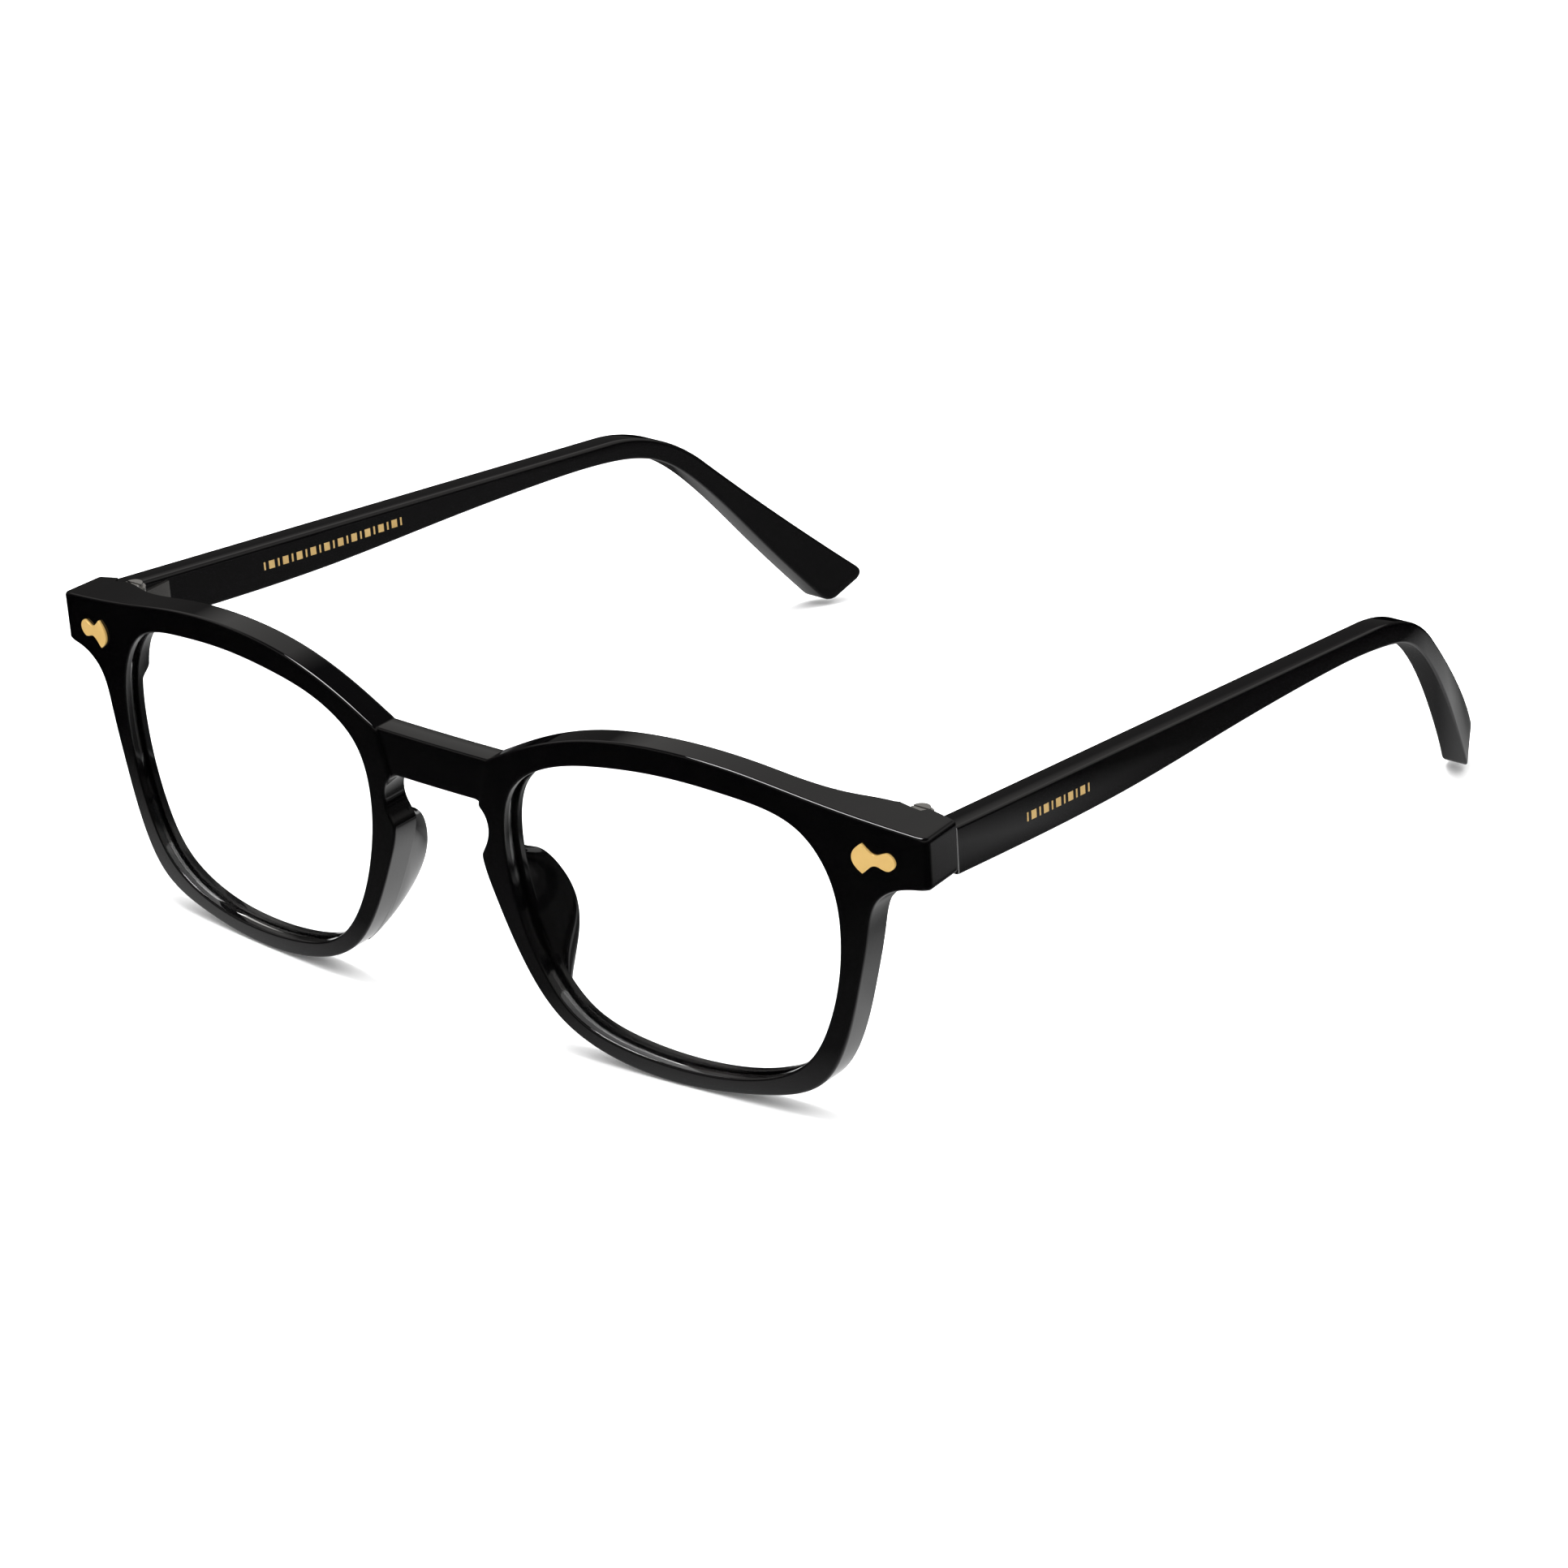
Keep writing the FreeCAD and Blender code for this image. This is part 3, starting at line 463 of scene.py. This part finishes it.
# one rim as rings round its section: up the aperture's front edge, across the face to the outline, over
# its two edges, across the rear, over the aperture's rear edge, and through the lens groove back to the
# start
def rimSkin():
    n = front["around"]
    outer = evenly(softened(evenly(rimOutline(), 5 * n), front["cornerReach"]), n)
    outerIn = inwardNormals(outer)
    fine = lensLoop(0.0, front["fine"])
    places = partners(outer, fine)
    inner = readLoop(fine, places)
    innerOut = readLoop(-inwardNormals(fine), places)
    innerOut /= np.linalg.norm(innerOut, axis=1)[:, None]
    edge, rearEdge = rimEdges(outer)
    hole = np.full(n, front["apertureEdge"])
    inset, sunk = quarterRound()
    rings = []

    def place(flat, depth, fromRear=False):
        x, z = flat.T
        y = rearDepth(x, z) - depth if fromRear else faceDepth(x) + depth
        rings.append(np.stack([x, y, z], axis=1))

    def overEdge(loop, normals, radius, order, fromRear):
        for a, b in list(zip(inset, sunk))[::order]:
            place(loop + normals * (radius * a)[:, None], radius * b, fromRear)

    def across(a, b, fromRear, count=10):
        for share in np.linspace(0.0, 1.0, count):
            place(a + (b - a) * share, 0.0, fromRear)

    spare = front["spare"]
    besideHole = inner + innerOut * (hole + spare)[:, None]
    overEdge(inner, innerOut, hole, 1, False)
    across(besideHole, outer + outerIn * (edge + spare)[:, None], False)
    overEdge(outer, outerIn, edge, -1, False)
    low, high = faceDepth(outer[:, 0]) + edge, rearDepth(outer[:, 0], outer[:, 1]) - rearEdge
    for share in (0.03, 0.25, 0.5, 0.75, 0.97):
        rings.append(np.stack([outer[:, 0], low + (high - low) * share, outer[:, 1]], axis=1))
    overEdge(outer, outerIn, rearEdge, 1, True)
    across(outer + outerIn * (rearEdge + spare)[:, None], besideHole, True, 14)
    overEdge(inner, innerOut, hole, -1, True)
    lip, deep = front["lip"], front["groove"]
    near, back = front["lensSet"] - front["play"], front["lensSet"] + front["lensThick"] + front["play"]
    groove = ((0.0, back + lip), (lip, back), (deep, back), (deep, near), (lip, near), (0.0, near - lip))
    for out, depth in groove:
        place(inner + innerOut * out, depth)
    return skin([tapered(ring) for ring in rings], closed=True)


# a solid plate of any outline: quarter-round edges, and two faces whose rings stand at spine + (rim -
# spine) share
def plate(loop, spine, nearDepth, farDepth, nearEdge, farEdge, shares=(0.0, 0.4, 0.8)):
    normals = inwardNormals(loop)
    inset, sunk = quarterRound()
    spare = min(front["spare"], nearEdge)
    rings = []

    def place(flat, y):
        rings.append(np.stack([flat[:, 0], y, flat[:, 1]], axis=1))

    def faceOf(depth, edge, sign, order):
        rim = loop + normals * (edge + spare)
        flats = [spine + (rim - spine) * share for share in (*shares, 1.0)][::order]
        turns = [(loop + normals * edge * a, sign * edge * b) for a, b in zip(inset, sunk)][::-order]
        if order > 0:
            for flat in flats:
                place(flat, depth(flat[:, 0]))
        for flat, sink in turns:
            place(flat, depth(flat[:, 0]) + sink)
        if order < 0:
            for flat in flats:
                place(flat, depth(flat[:, 0]))

    faceOf(nearDepth, nearEdge, 1.0, 1)
    faceOf(farDepth, farEdge, -1.0, -1)
    return skin(rings)


# the bridge: a bar set back between the rims, whose ends run into them
def bridgeSkin():
    bridge = {"top": -2.0, "bottom": -8.0, "reach": 9.6, "recess": 0.45, "edge": 0.35, "round": 0.12,
              "spine": (7.0, -5.2)}
    under = curveThrough([(bridge["reach"], -9.7), (8.4, -9.0), (7.3, -8.3), (6.6, bridge["bottom"])], 60)
    right = np.vstack([under, [(0.0, bridge["bottom"])]])
    left = right[::-1] * np.array([-1.0, 1.0])
    corners = np.array([(-bridge["reach"], bridge["top"]), (bridge["reach"], bridge["top"])])
    loop = evenly(softened(evenly(np.vstack([right, left[1:], corners]), 2000), bridge["round"]), 400)
    half, middle = bridge["spine"]
    spine = np.stack([np.clip(loop[:, 0], -half, half), np.full(len(loop), middle)], axis=1)
    return plate(loop, spine, lambda x: faceDepth(x) + bridge["recess"], rearDepth, bridge["edge"],
                 bridge["edge"])


rim = rimSkin()
frontPiece = addPiece("frontBody", [rim, mirrored(rim), bridgeSkin()], acetate, "front",
                      ["front_frame"])
print("front made,", len(frontPiece.data.polygons), "faces")


lens = {"around": 360, "grow": 0.6, "bevel": 0.15, "rings": 12}


# a lens as a plate that is bent like the front, with its edge in the groove
def lensSkin():
    loop = lensLoop(lens["grow"], lens["around"])
    spine = np.tile(np.array(front["lensMid"]), (lens["around"], 1))
    return plate(loop, spine, lambda x: faceDepth(x) + front["lensSet"],
                 lambda x: faceDepth(x) + front["lensSet"] + front["lensThick"], lens["bevel"], lens["bevel"],
                 tuple(np.arange(lens["rings"]) / lens["rings"]))


clearLens = lensSkin()
addPiece("lensLeft", [clearLens], lensGlass, "front", ["lens_left"])
addPiece("lensRight", [mirrored(clearLens)], lensGlass, "front", ["lens_right"])


plaque = {"mid": (64.2, -3.5), "size": (5.6, 3.9), "thick": 0.35, "sunk": 0.2, "edge": 0.1, "rearEdge": 0.02,
          "round": 0.07, "around": 240}


# a fishtail towards the lens, a waist, and a narrower rounded end towards the corner
def plaqueSkin():
    half = np.array(plaque["size"]) / 2
    upper = curveThrough([(-0.52, 1.0), (0.12, 0.36), (0.66, 0.58), (1.0, 0.0)] * half, 200,
                         start=(1.0, -0.9), end=(0.0, -1.0))
    tail = curveThrough([(-0.52, -1.0), (-0.92, -0.42), (-1.0, 0.0), (-0.92, 0.42), (-0.52, 1.0)] * half, 80)
    lower = upper[::-1] * np.array([1.0, -1.0])
    loop = evenly(np.vstack([upper, lower[1:], tail[1:-1]]), 1600)
    loop = evenly(softened(loop, plaque["round"]), plaque["around"]) + plaque["mid"]
    spine = np.tile(np.array(plaque["mid"]), (len(loop), 1))
    near, far = plaque["thick"], plaque["sunk"]
    return plate(loop, spine, lambda x: faceDepth(x) - near, lambda x: faceDepth(x) + far, plaque["edge"],
                 plaque["rearEdge"], (0.0, 0.3, 0.6, 0.9))


goldPlaque = plaqueSkin()
addPiece("plaqueLeft", [goldPlaque], goldPlate, "front", ["plaque_left"])
addPiece("plaqueRight", [mirrored(goldPlaque)], goldPlate, "front", ["plaque_right"])


pad = {"from": -13.6, "to": -35.0, "rows": 90, "around": 40, "reach": 7.3, "least": 0.01, "width": 3.1,
       "slimmest": 0.35, "narrowing": 0.42, "splay": (2.3, -0.5), "squareness": 2.9, "sunk": 0.8,
       "bluntness": (0.6, 1.25)}


# a fin that grows from the rear of the rim, flush with the side of the nose gap. Every section is a
# rounded tongue with |cos a|^k across and sin(a)^k back, k = 2 / squareness. Its reach swells as sin(pi
# s)^bluntness, from nothing at the ends to the most in the middle
def padSkin():
    outline = [(8.55, -11.6), (7.45, -15.4), (8.6, -20.0), (12.0, -27.7), (17.4, -34.9), (25.0, -38.5)]
    outline = curveThrough(outline, 2000)
    height = np.linspace(pad["from"], pad["to"], pad["rows"])
    x = np.interp(height, outline[::-1, 1], outline[::-1, 0])
    lean = np.gradient(x, height)
    side = np.stack([np.ones_like(lean), -lean], axis=1) / np.sqrt(1 + lean**2)[:, None]
    share = np.linspace(0.0, 1.0, pad["rows"])
    swell = np.clip(np.sin(math.pi * share), 0.0, 1.0) ** np.linspace(*pad["bluntness"], pad["rows"])
    angle = np.linspace(0.0, math.pi, pad["around"])
    power = 2.0 / pad["squareness"]
    c, s = np.cos(angle), np.clip(np.sin(angle), 0.0, 1.0)
    out = (s ** power)[None, :]
    width = pad["width"] * (pad["slimmest"] + (1 - pad["slimmest"]) * swell)[:, None]
    across = (np.sign(c) * np.abs(c) ** power)[None, :]
    into = width / 2 * (1 - across * (1 - pad["narrowing"] * out**2))
    into = into + np.linspace(*pad["splay"], pad["rows"])[:, None] * out**2
    back = rearDepth(x)[:, None] - pad["sunk"] + (pad["reach"] * swell + pad["least"])[:, None] * out
    px = x[:, None] + side[:, :1] * into
    pz = height[:, None] + side[:, 1:] * into
    rings = np.stack([px, back, pz], axis=2)
    poles = [np.tile(ring.mean(axis=0), (1, pad["around"], 1)) for ring in (rings[0], rings[-1])]
    return skin(np.concatenate([poles[0], rings, poles[1]]))


nosePad = padSkin()
addPiece("nosePadLeft", [nosePad], acetate, "front", ["nose_pad_left"], 50.0)
addPiece("nosePadRight", [mirrored(nosePad)], acetate, "front", ["nose_pad_right"], 50.0)
print("lenses, plaques and pads made")


# the temples, in mm and degrees: the outer face seen from above, the top line and tip seen from the side,
# the edges of the section (outer top, outer foot, inner top, inner foot) and of the two ends
temple = {
    "outer": 70.5, "start": 13.75, "thick": 3.8, "slope": 2.1, "curveStart": 108.0, "curveRadius": 95.0,
    "drop": 7.1, "top": -0.95, "bendStart": 108.5, "bendRadius": 29.0, "bendDrop": 45.35, "tipRun": 35.12,
    "tipHeight": 6.8, "tipSlant": 100.0, "foot": -7.2, "rows": 420,
    "edges": (0.4, 0.4, 0.6, 0.5), "startEdge": 0.16, "tipEdge": 2.0, "tipSide": 0.5,
}


# a direction in the side view that falls towards the rear by the given angle: (cos a, -sin a)
def falling(degrees):
    return np.array([math.cos(math.radians(degrees)), -math.sin(math.radians(degrees))])


# the side view: a straight top line, an arc for the bend and a straight run to the tip, over a curved
# underside
def templeSide(count):
    start = np.array([temple["start"], temple["top"]])
    first, last = falling(temple["drop"]), falling(temple["bendDrop"])
    bend = start + first * (temple["bendStart"] - temple["start"]) / first[0]
    centre = bend + falling(temple["drop"] + 90.0) * temple["bendRadius"]
    turn = np.radians(np.linspace(temple["drop"] - 90.0, temple["bendDrop"] - 90.0, 200))
    arc = centre + temple["bendRadius"] * np.stack([np.cos(turn), -np.sin(turn)], axis=1)
    tip = arc[-1] + last * temple["tipRun"]
    heel = tip + falling(temple["bendDrop"] + temple["tipSlant"]) * temple["tipHeight"]
    top = evenly(np.vstack([start[None], arc, tip[None]]), count, closed=False)
    under = curveThrough([(temple["start"], temple["foot"]), (53.0, -11.5), (71.5, -12.5), (94.1, -14.05),
                          (108.5, -15.85), (117.5, -18.7), (125.0, -24.95), (134.7, -37.1), heel], 3000)
    return top, evenly(under, count, closed=False)


# how far out the temple's outer face is: x - (y - start) tan(slope), and past the curve's start an arc,
# which leaves that line by r cos(slope) - sqrt(r^2 - (y - middle)^2)
def templeOuter(y):
    lean = math.radians(temple["slope"])
    straight = temple["outer"] - (np.minimum(y, temple["curveStart"]) - temple["start"]) * math.tan(lean)
    centreY = temple["curveStart"] - temple["curveRadius"] * math.sin(lean)
    edge = temple["curveRadius"] * math.cos(lean)
    over = np.sqrt(temple["curveRadius"] ** 2 - (np.maximum(y, temple["curveStart"]) - centreY) ** 2)
    return straight - (edge - over)


# the thickness measured straight across: thickness / cos(angle of the run)
def templeAcross(y):
    lean = math.radians(temple["slope"])
    centreY = temple["curveStart"] - temple["curveRadius"] * math.sin(lean)
    turn = np.arcsin(np.clip((y - centreY) / temple["curveRadius"], math.sin(lean), 1.0))
    return temple["thick"] / np.cos(turn)


# a rounded oblong section, once round: fractions of the width and height, and the offsets in mm that its
# corners add. They come in the order outer top, outer foot, inner foot, inner top
def templeSection():
    inset, sunk = quarterRound(7)
    pieces = []
    corners = [((1, 1), 0), ((1, 0), 1), ((0, 0), 3), ((0, 1), 2)]
    for number, ((f, g), which) in enumerate(corners):
        radius = temple["edges"][which]
        a, b = (inset, sunk) if number % 2 else (sunk, inset)
        signF, signG = (-1 if f else 1), (-1 if g else 1)
        for p, q in zip(a, b):
            pieces.append((f, g, signF * radius * p, signG * radius * q))
    return np.array(pieces)


# the temple as a bar of sections: the side view gives their height, the plan their outer face. Towards
# the ends the sections shrink by r (1 - cos a) at r (1 - sin a) from the end, and a cap closes each end
def templeBar():
    rows = temple["rows"]
    top, under = templeSide(rows)
    along = np.linspace(0.0, 1.0, rows)
    length = np.linalg.norm(np.diff(top, axis=0), axis=1).sum()
    turn = np.linspace(0.0, math.pi / 2, 7)
    startAt = temple["startEdge"] * (1 - np.sin(turn))[::-1]
    startIn = temple["startEdge"] * (1 - np.cos(turn))[::-1]
    tipAt = length - temple["tipEdge"] * (1 - np.sin(turn))
    tipIn = temple["tipEdge"] * (1 - np.cos(turn))
    middle = np.linspace(temple["startEdge"] * 1.5, length - temple["tipEdge"] * 1.2, rows)
    places = np.concatenate([startAt, middle, tipAt]) / length
    drawn = np.concatenate([startIn, np.zeros(rows), tipIn])
    topRow = np.stack([np.interp(places, along, top[:, k]) for k in range(2)], axis=1)
    underRow = np.stack([np.interp(places, along, under[:, k]) for k in range(2)], axis=1)
    height = np.linalg.norm(topRow - underRow, axis=1)
    rise = (topRow - underRow) / height[:, None]
    section = templeSection()
    f, g, offsetF, offsetG = (section[:, k][None, :] for k in range(4))
    sideways = np.where(places > 0.5, temple["tipSide"], 1.0) * drawn
    acrossMm = offsetF + np.where(f > 0.5, -1.0, 1.0) * sideways[:, None]
    heightMm = offsetG + np.where(g > 0.5, -1.0, 1.0) * drawn[:, None]
    up = g * height[:, None] + heightMm
    y, z = (underRow[:, None, k] + rise[:, None, k] * up for k in range(2))
    x = templeOuter(y) - templeAcross(y) * (1 - f) + acrossMm
    rings = np.stack([x, y, z], axis=2)
    caps = []
    for ring in (rings[0], rings[-1]):
        middle = ring.mean(axis=0)
        ridge = middle + (ring - middle) * np.array([0.0, 0.6, 0.6])
        cap = [ring + (ridge - ring) * share for share in (0.3, 0.9, 1.0)]
        caps.append(cap + [np.tile(cap[-1].mean(axis=0), (len(ring), 1))])
    return skin(caps[0][::-1] + list(rings) + caps[1])


bar = templeBar()
addPiece("templeLeft", [bar], acetate, "temple_left", ["temple_left"])
addPiece("templeRight", [mirrored(bar)], acetate, "temple_right", ["temple_right"])
print("temples made")

# gold foil marks: rows of plain bars, which say nothing

foil = {"raise": 0.02, "tall": 1.15, "gap": 0.62, "long": 1.05, "short": 0.3,
        "outerStart": 28.0, "outerBars": 11, "innerStart": 39.0, "innerBars": 21, "below": 0.47}


# bars stand side by side along the temple, each with its middle at top (1 - below) + foot below, and lie
# on the face
def foilSkin(start, bars, inner):
    widths = np.where(np.arange(bars) % 2 == 0, foil["short"], foil["long"])
    begin = start + np.concatenate([[0.0], np.cumsum(widths + foil["gap"])[:-1]])
    top, under = templeSide(400)
    drop = math.tan(math.radians(temple["drop"]))
    y = np.stack([begin, begin + widths, begin + widths, begin], axis=1)
    middle = (np.interp(begin, top[:, 0], top[:, 1]) * (1 - foil["below"])
              + np.interp(begin, under[:, 0], under[:, 1]) * foil["below"])
    z = middle[:, None] + np.array([-0.5, -0.5, 0.5, 0.5]) * foil["tall"] - (y - begin[:, None]) * drop
    face = templeOuter(y) - (templeAcross(y) if inner else 0.0)
    out = -1.0 if inner else 1.0
    lower = np.stack([face - out * foil["raise"], y, z], axis=2)
    upper = np.stack([face + out * foil["raise"], y, z], axis=2)
    verts = np.concatenate([lower, upper], axis=1).reshape(-1, 3)
    box = np.array([(0, 3, 2, 1), (4, 5, 6, 7), (0, 1, 5, 4), (1, 2, 6, 5), (2, 3, 7, 6), (3, 0, 4, 7)])
    faces = (box[None] + 8 * np.arange(bars)[:, None, None]).reshape(-1, 4)
    return verts, faces


addPiece("foilMarkLeft", [foilSkin(foil["outerStart"], foil["outerBars"], False)], goldFoil, "temple_left")
addPiece("foilMarkRight", [mirrored(foilSkin(foil["innerStart"], foil["innerBars"], True))], goldFoil,
         "temple_right")


for name, node in nodes.items():
    if "hinge" in name:
        node.data.materials[0] = hingeSteel
    if "core_wire" in name:
        node.data.materials[0] = wireSteel


# the stage, in metres and watts
stage = {
    "floorSize": 6.0, "floorColour": (0.9, 0.9, 0.9, 1), "poolReach": 0.16, "skyStrength": 1.4,
    "softboxSize": 0.42, "softboxPower": 9.0, "fillSize": 2.4, "fillPower": 22.0,
    # each pool is a pair of lists, (place in metres, level): along Y, and across from the middle
    "pools": (
        (((-0.15, 0.0), (-0.12, 0.02), (-0.095, 0.08), (-0.085, 0.10), (-0.075, 0.5), (-0.066, 1.2),
          (-0.050, 1.2), (-0.030, 0.10), (-0.020, 0.0)),
         ((0.072, 1.0), (0.085, 0.6), (0.110, 0.05), (0.130, 0.0))),
        (((-0.045, 0.0), (-0.025, 1.0), (0.100, 1.0), (0.150, 0.0)),
         ((0.053, 0.12), (0.062, 0.60), (0.078, 0.60), (0.090, 0.04), (0.150, 0.02))),
        (((-0.040, 0.0), (-0.010, 0.3), (0.018, 1.0), (0.040, 0.35), (0.060, 0.0)),
         ((0.095, 0.0), (0.112, 0.34), (0.145, 0.34), (0.158, 0.0))),
    ),
    # what a gloss mirrors of the sky, as (upward part of the direction, level)
    "band": ((0.0, 0.05), (0.30, 0.06), (0.43, 0.44), (0.68, 0.44), (0.76, 0.03)),
}


# min(glossy bounces, 1): 1 for light that a gloss mirrors, also where it then goes through a lens, and 0
# for light seen straight
def mirrorRay(tree, path):
    node = tree.nodes.new("ShaderNodeMath")
    node.operation = "MINIMUM"
    node.inputs[1].default_value = 1.0
    tree.links.new(path.outputs["Glossy Depth"], node.inputs[0])
    return node.outputs["Value"]


# a grey level read off a list of (place, level) pairs, for a value between -reach and reach
def stepped(tree, value, reach, pairs):
    spread, ramp = tree.nodes.new("ShaderNodeMapRange"), tree.nodes.new("ShaderNodeValToRGB")
    spread.inputs["From Min"].default_value, spread.inputs["From Max"].default_value = -reach, reach
    tree.links.new(value, spread.inputs["Value"])
    tree.links.new(spread.outputs["Result"], ramp.inputs["Fac"])
    stops = ramp.color_ramp.elements
    while len(stops) < len(pairs):
        stops.new(0.5)
    for stop, (place, level) in zip(stops, pairs):
        stop.position = (place + reach) / (2 * reach)
        stop.color = (level, level, level, 1)
    return ramp.outputs["Color"]


# the floor is pale paper. What the gloss mirrors of it is the sum of pools of light round the glasses,
# each a level along Y times a level across: dim ahead, bright under the rims, dark between the temples,
# and bright beside them
def makeFloor():
    half = stage["floorSize"] / 2
    mesh = bpy.data.meshes.new("floor")
    corners = [(-half, -half, 0), (half, -half, 0), (half, half, 0), (-half, half, 0)]
    mesh.from_pydata(corners, [], [(0, 1, 2, 3)])
    floor = bpy.data.objects.new("floor", mesh)
    bpy.context.scene.collection.objects.link(floor)
    material, shader = newMaterial("palePaper", Roughness=0.9, Base_Color=stage["floorColour"])
    shader.inputs["Specular IOR Level"].default_value = 0.1
    tree = material.node_tree
    new, link = tree.nodes.new, tree.links.new
    place, split, away = new("ShaderNodeTexCoord"), new("ShaderNodeSeparateXYZ"), new("ShaderNodeMath")
    away.operation = "ABSOLUTE"
    link(place.outputs["Object"], split.inputs["Vector"])
    link(split.outputs["X"], away.inputs[0])
    before = new("ShaderNodeValue")
    before.outputs["Value"].default_value = 0.0
    for along, across in stage["pools"]:
        level = new("ShaderNodeMath")
        level.operation = "MULTIPLY_ADD"
        link(stepped(tree, split.outputs["Y"], stage["poolReach"], along), level.inputs[0])
        link(stepped(tree, away.outputs["Value"], stage["poolReach"], across), level.inputs[1])
        link(before.outputs["Value"], level.inputs[2])
        before = level
    glow, path, mix = new("ShaderNodeEmission"), new("ShaderNodeLightPath"), new("ShaderNodeMixShader")
    link(before.outputs["Value"], glow.inputs["Strength"])
    link(mirrorRay(tree, path), mix.inputs["Fac"])
    link(shader.outputs["BSDF"], mix.inputs[1])
    link(glow.outputs["Emission"], mix.inputs[2])
    link(mix.outputs["Shader"], tree.nodes["Material Output"].inputs["Surface"])
    mesh.materials.append(material)


# a square light at a place, turned to the middle of the stage
def addLight(name, size, watts, place, isMirrored):
    data = bpy.data.lights.new(name, "AREA")
    data.shape = "RECTANGLE"
    data.size = data.size_y = size
    data.energy = watts
    light = bpy.data.objects.new(name, data)
    light.location = place
    light.rotation_euler = (-Vector(place)).to_track_quat("-Z", "Y").to_euler()
    light.visible_glossy = isMirrored
    bpy.context.scene.collection.objects.link(light)


# the studio: white behind the glasses, and for a gloss a grey band above the horizon under a dark ceiling
def makeWorld():
    world = bpy.data.worlds.new("studio")
    world.use_nodes = True
    tree = world.node_tree
    new, link = tree.nodes.new, tree.links.new
    plain = tree.nodes["Background"]
    place, split, ramp = new("ShaderNodeTexCoord"), new("ShaderNodeSeparateXYZ"), new("ShaderNodeValToRGB")
    link(place.outputs["Generated"], split.inputs["Vector"])
    link(split.outputs["Z"], ramp.inputs["Fac"])
    stops = ramp.color_ramp.elements
    while len(stops) < len(stage["band"]):
        stops.new(0.5)
    for stop, (height, shade) in zip(stops, stage["band"]):
        stop.position = height
        stop.color = (shade, shade * 0.98, shade * 0.95, 1)
    link(ramp.outputs["Color"], plain.inputs["Color"])
    white = new("ShaderNodeBackground")
    white.inputs["Strength"].default_value = stage["skyStrength"]
    path, mix = new("ShaderNodeLightPath"), new("ShaderNodeMixShader")
    link(mirrorRay(tree, path), mix.inputs["Fac"])
    link(white.outputs["Background"], mix.inputs[1])
    link(plain.outputs["Background"], mix.inputs[2])
    link(mix.outputs["Shader"], tree.nodes["World Output"].inputs["Surface"])
    bpy.context.scene.world = world


# the camera looks at its target from (sin a cos e, -cos a cos e, sin e) times its distance, rolled about
# its view
def makeCamera():
    view = {"azimuth": 39.12, "elevation": 22.22, "roll": 1.074, "distance": 0.69106,
            "target": (0.00175, -0.00988, 0.01095), "lens": 119.25}
    az, el, roll = (math.radians(view[k]) for k in ("azimuth", "elevation", "roll"))
    back = Vector((math.sin(az) * math.cos(el), -math.cos(az) * math.cos(el), math.sin(el)))
    level = Vector((math.cos(az), math.sin(az), 0.0))
    upright = back.cross(level)
    up = upright * math.cos(roll) + level * math.sin(roll)
    right = level * math.cos(roll) - upright * math.sin(roll)
    data = bpy.data.cameras.new("camera")
    data.lens = view["lens"]
    data.sensor_width = 36.0
    data.clip_start, data.clip_end = 0.01, 20.0
    camera = bpy.data.objects.new("camera", data)
    place = Vector(view["target"]) + back * view["distance"]
    camera.matrix_world = Matrix((right, up, back)).transposed().to_4x4()
    camera.matrix_world.translation = place
    bpy.context.scene.collection.objects.link(camera)
    bpy.context.scene.camera = camera


makeFloor()
addLight("overheadSoftbox", stage["softboxSize"], stage["softboxPower"], (-0.15, -0.05, 0.9), True)
addLight("wideFill", stage["fillSize"], stage["fillPower"], (0.0, 0.2, 1.3), False)
makeWorld()
makeCamera()
bpy.context.scene.view_settings.view_transform = "Standard"
print("stage, lights and camera set")
